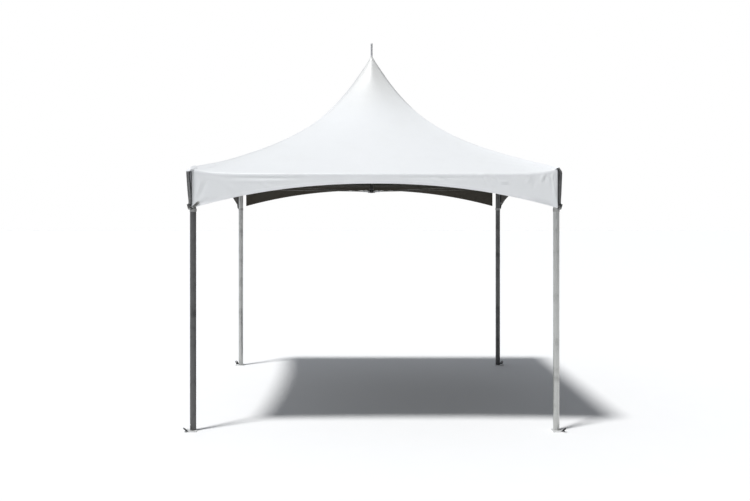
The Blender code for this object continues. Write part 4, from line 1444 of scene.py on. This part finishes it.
def make_hem_tie():
    """The short strap that ties the front valance's lower corner to its leg on the left."""
    form = Form()
    knot = Vector((-LEG - 0.004, -LEG - TUBE_R - 0.0010, 1.836))
    eyelet = Vector((-LEG + 0.050, -LEG - WRAP_R - 0.0052, 1.883))
    path = []
    for k in range(11):
        bow = Vector((0.0, -0.0034 * math.sin(math.pi * k / 10), 0.0))
        path.append(knot + (eyelet - knot) * (k / 10) + bow)
    form.swept(path, web_section(0.021, 0.0026), up=Vector((0.0, -1.0, 0.0)))
    washer = [(0.5, 0.0002), (1.0, 0.0008), (0.96, 0.0026), (0.6, 0.0038), (0.46, 0.0030)]
    for end, size, finish in ((knot, 0.0105, 0), (eyelet, 0.0085, 1)):
        facing = Matrix.Translation(end + Vector((0.0, -0.001, 0.0))) @ ALONG_Y
        form.turned([(size * wide, height) for wide, height in washer], facing, 24, ring=True, finish=finish)
    put("hem_tie", form.mesh("hem_tie"), (tie_webbing, bright_bolt))


def ratchet_cheek(form, at, side, drum):
    """One side of a ratchet: its cheek plate, toothed wheel, handle arm and two rivets."""
    rivets = ((0.0048, -0.0185), (0.0046, 0.0185))
    outline = [
        (0.0005, -0.0245), (0.0060, -0.0245), (0.0105, -0.0180), (0.0125, -0.0100), (0.0172, -0.0040),
        (0.0184, 0.0030), (0.0168, 0.0095), (0.0122, 0.0145), (0.0070, 0.0235), (0.0005, 0.0245),
    ]
    flat = at @ Matrix.Translation((0.0, side * 0.0215, 0.0)) @ ALONG_Y
    form.plate(outline, 0.0020, flat, [(x, z, 0.0016) for x, z in rivets], edge=0.0004)
    wheel, teeth = [], 13
    for k in range(teeth):
        base = 2 * math.pi * k / teeth
        for radius, turn in ((0.0084, 0.0), (0.0068, 0.10), (0.0069, 0.30)):
            wheel.append((radius * math.cos(base + turn), radius * math.sin(base + turn)))
    hub = at @ Matrix.Translation((drum.x, side * 0.0190, drum.z)) @ ALONG_Y
    form.plate(wheel, 0.0018, hub, edge=0.0002, finish=1)
    lifted = Matrix.Rotation(math.radians(68), 4, "Z")
    arm = at @ Matrix.Translation((drum.x, side * 0.0232, drum.z)) @ ALONG_Y @ lifted
    form.plate(round_ended(-0.004, 0.0145, 0.0050), 0.0018, arm, [(0.0, 0.0, 0.0025)], edge=0.0004)
    head = [(0.0030, 0.0), (0.0028, 0.0008), (0.0018, 0.0014), (0.0006, 0.0016)]
    for x, z in rivets:
        facing = Matrix.Rotation(-side * math.pi / 2, 4, "X")
        form.turned(head, at @ Matrix.Translation((x, side * 0.0222, z)) @ facing, 14, finish=1)


def make_ratchets():
    """Ratchets: side plates, toothed wheels, wound drum, pawl and handle."""
    form = Form()
    at = OUTWARDS @ Matrix.Translation((TUBE_R + 0.0036, 0.0, RATCHET_Z)) @ Matrix.Diagonal(RATCHET_SIZE)
    form.block((0.0022, 0.044, 0.049), (0.0012, 0.0, 0.0), at, edge=0.0005)
    drum = Vector((0.0108, 0.0, 0.002))
    for side in (-1, 1):
        ratchet_cheek(form, at, side, drum)
    axle = at @ Matrix.Translation(drum) @ ALONG_Y
    rod = [(0.0032, -0.0255), (0.0045, -0.0250), (0.0045, 0.0250), (0.0032, 0.0255)]
    form.turned(rod, axle, 20, finish=1)
    for reach, shift in ((0.0056, 0.0), (0.0066, 0.0), (0.0074, 0.0004)):
        spool = [(reach - 0.0008, -0.0172), (reach, -0.0168), (reach, 0.0168)]
        spool += [(reach - 0.0008, 0.0172), (0.0047, 0.0172), (0.0047, -0.0172)]
        form.turned(spool, axle @ Matrix.Translation((shift, 0.0, 0.0)), 28, ring=True, finish=2)
    pawl = at @ Matrix.Rotation(math.radians(14), 4, "Y")
    form.block((0.0026, 0.0340, 0.0070), (0.0122, 0.0, -0.0105), pawl, finish=1)
    grip = at @ Matrix.Translation(drum + Vector((0.0054, 0.0, 0.0140))) @ ALONG_Y
    form.turned([
        (0.0022, -0.0232), (0.0034, -0.0226), (0.0034, -0.004), (0.0030, -0.003), (0.0030, 0.003),
        (0.0034, 0.004), (0.0034, 0.0226), (0.0022, 0.0232),
    ], grip, 20)
    finishes = (dark_plate, bright_bolt, black_webbing)
    put_four("ratchet_buckle", form.mesh("buckle"), finishes, "ratchet")


# Light, floor and camera

def make_room():
    """A white room. It lights the tent more from the left and the back, and is itself seen plain white."""
    world = bpy.data.worlds.new("white_room")
    world.use_nodes = True
    room = Nodes(world.node_tree)
    room.tree.nodes.remove(room.tree.nodes["Background"])
    where = room.place("Generated")
    sideways = room.along(where, "X").fading(-0.7, 0.7, ROOM_LEFT, ROOM_RIGHT)
    depth = room.along(where, "Y").fading(-0.9, 0.5, ROOM_FRONT, ROOM_BACK)
    light = room.node("Background", inputs={"Color": colour(0.80, 0.84, 0.90), "Strength": sideways * depth})
    wall = room.node("Background", inputs={"Color": colour(1.0, 1.0, 1.0), "Strength": 1.0})
    seen = room.node("LightPath", output="Is Camera Ray")
    surface = room.node("MixShader", inputs={0: seen, 1: light, 2: wall})
    room.tree.links.new(surface.socket, room.tree.nodes["World Output"].inputs["Surface"])
    bpy.context.scene.world = world


def make_studio():
    """A pale floor in the white room, with a key light from the upper left."""
    form = Form()
    corners = [(FLOOR_HALF * x, FLOOR_HALF * y) for x, y in ((-1, -1), (1, -1), (1, 1), (-1, 1))]
    form.face([form.bm.verts.new((x, y, 0.0)) for x, y in corners], corners)
    mesh = form.mesh("floor", closed=False)
    mesh.materials.append(pale_floor())
    floor = bpy.data.objects.new("floor", mesh)
    bpy.context.scene.collection.objects.link(floor)
    make_room()
    lamp = bpy.data.lights.new("key", "SUN")
    lamp.energy = KEY_LIGHT
    lamp.angle = KEY_WIDTH
    key = bpy.data.objects.new("key", lamp)
    key.rotation_euler = Vector(KEY_FROM).to_track_quat("Z", "Y").to_euler()
    bpy.context.scene.collection.objects.link(key)
    bpy.context.scene.view_settings.view_transform = "Standard"


def make_camera():
    """The photograph's viewpoint: eye height, level, a little left of the middle."""
    lens = bpy.data.cameras.new("camera")
    lens.sensor_width = 36.0
    lens.lens = FOCAL_PIXELS / FRAME_WIDE * lens.sensor_width
    lens.shift_x = (FRAME_WIDE / 2 - EYE_PIXEL_X) / FRAME_WIDE
    lens.shift_y = (EYE_PIXEL_Y - FRAME_HIGH / 2) / FRAME_WIDE
    camera = bpy.data.objects.new("camera", lens)
    camera.location = EYE
    camera.rotation_euler = (math.pi / 2, 0.0, 0.0)
    bpy.context.scene.collection.objects.link(camera)
    bpy.context.scene.camera = camera


# Cloth and webbing
white_vinyl = coated_cloth("white_vinyl", colour(0.855, 0.87, 0.88), colour(0.66, 0.66, 0.64), 0.10, 0.40)
welded_vinyl = coated_cloth("welded_vinyl", colour(0.86, 0.87, 0.885), colour(0.62, 0.62, 0.60), 0.14, 0.34)
# Near-black lining: painted shade for the canopy's shaded underside, not the cloth's own colour.
painted_shade_lining = coated_cloth("painted_shade_vinyl", colour(0.050, 0.043, 0.031), colour(0.032, 0.027, 0.019), 0.30, 0.62)
# The black strap's grey middle is partly a painted highlight: it stands in for the sunlit sheen down the
# strap.
black_webbing = webbing("black_webbing", colour(0.012, 0.012, 0.013), grey(0.11), colour(0.05, 0.05, 0.052))
grey_webbing = webbing(
    "grey_webbing", colour(0.25, 0.25, 0.24), colour(0.36, 0.36, 0.35), colour(0.20, 0.20, 0.19))
tie_webbing = webbing(
    "tie_webbing", colour(0.10, 0.10, 0.095), colour(0.16, 0.16, 0.15), colour(0.22, 0.22, 0.21))
thread = webbing("stitch_thread", grey(0.05), grey(0.05), grey(0.10))

# Metal
aluminium = extruded_tube("mill_aluminium", colour(0.60, 0.605, 0.59), colour(0.34, 0.345, 0.33), 0.30)
# Eave rails: near black, painted shade for the rails seen in the tent's shaded inside.
rail_painted_shade = extruded_tube("painted_shade_rail_aluminium", colour(0.09, 0.085, 0.075), colour(0.05, 0.048, 0.042), 0.5)
# Mast: near black, painted shade for the mast under the canopy.
mast_painted_shade = extruded_tube(
    "painted_shade_mast_aluminium", colour(0.065, 0.062, 0.057), colour(0.035, 0.034, 0.031), 0.55)
# A darker copy of the leg tube: painted shade for the two legs that stand darker in the light.
painted_shade_aluminium = extruded_tube("painted_shade_aluminium", grey(0.17), colour(0.09, 0.09, 0.088), 0.42)
pin_aluminium = extruded_tube("bright_aluminium", colour(0.92, 0.91, 0.92), colour(0.72, 0.72, 0.73), 0.34)
zinc_steel = galvanised("galvanised_steel", colour(0.56, 0.57, 0.58), colour(0.30, 0.31, 0.32), 0.96)
# Base plates: pale and barely metallic, painted sunlight for the glare on their tops, over the zinc's own
# grey.
plate_steel = galvanised("painted_sunlit_zinc", colour(0.86, 0.86, 0.85), colour(0.66, 0.67, 0.67), 0.25)
dark_plate = plated_steel("dark_plate", colour(0.05, 0.05, 0.052), colour(0.22, 0.21, 0.20), 0.42)
bright_bolt = plated_steel("bright_zinc", colour(0.50, 0.50, 0.48), colour(0.30, 0.29, 0.27), 0.36)
weld_bead = plated_steel("weld_bead", grey(0.30), colour(0.16, 0.15, 0.14), 0.5)
rope_wire = drawn_wire()

# The tent and its studio
make_camera()
canopy = make_canopy()
seams = make_seams()
boot = make_collar()
make_mast()
make_crowns()
make_legs()
make_eave_rails()
make_base_plates()
make_cables()
make_straps()
make_leg_bands()
make_hem_tie()
make_ratchets()
make_studio()
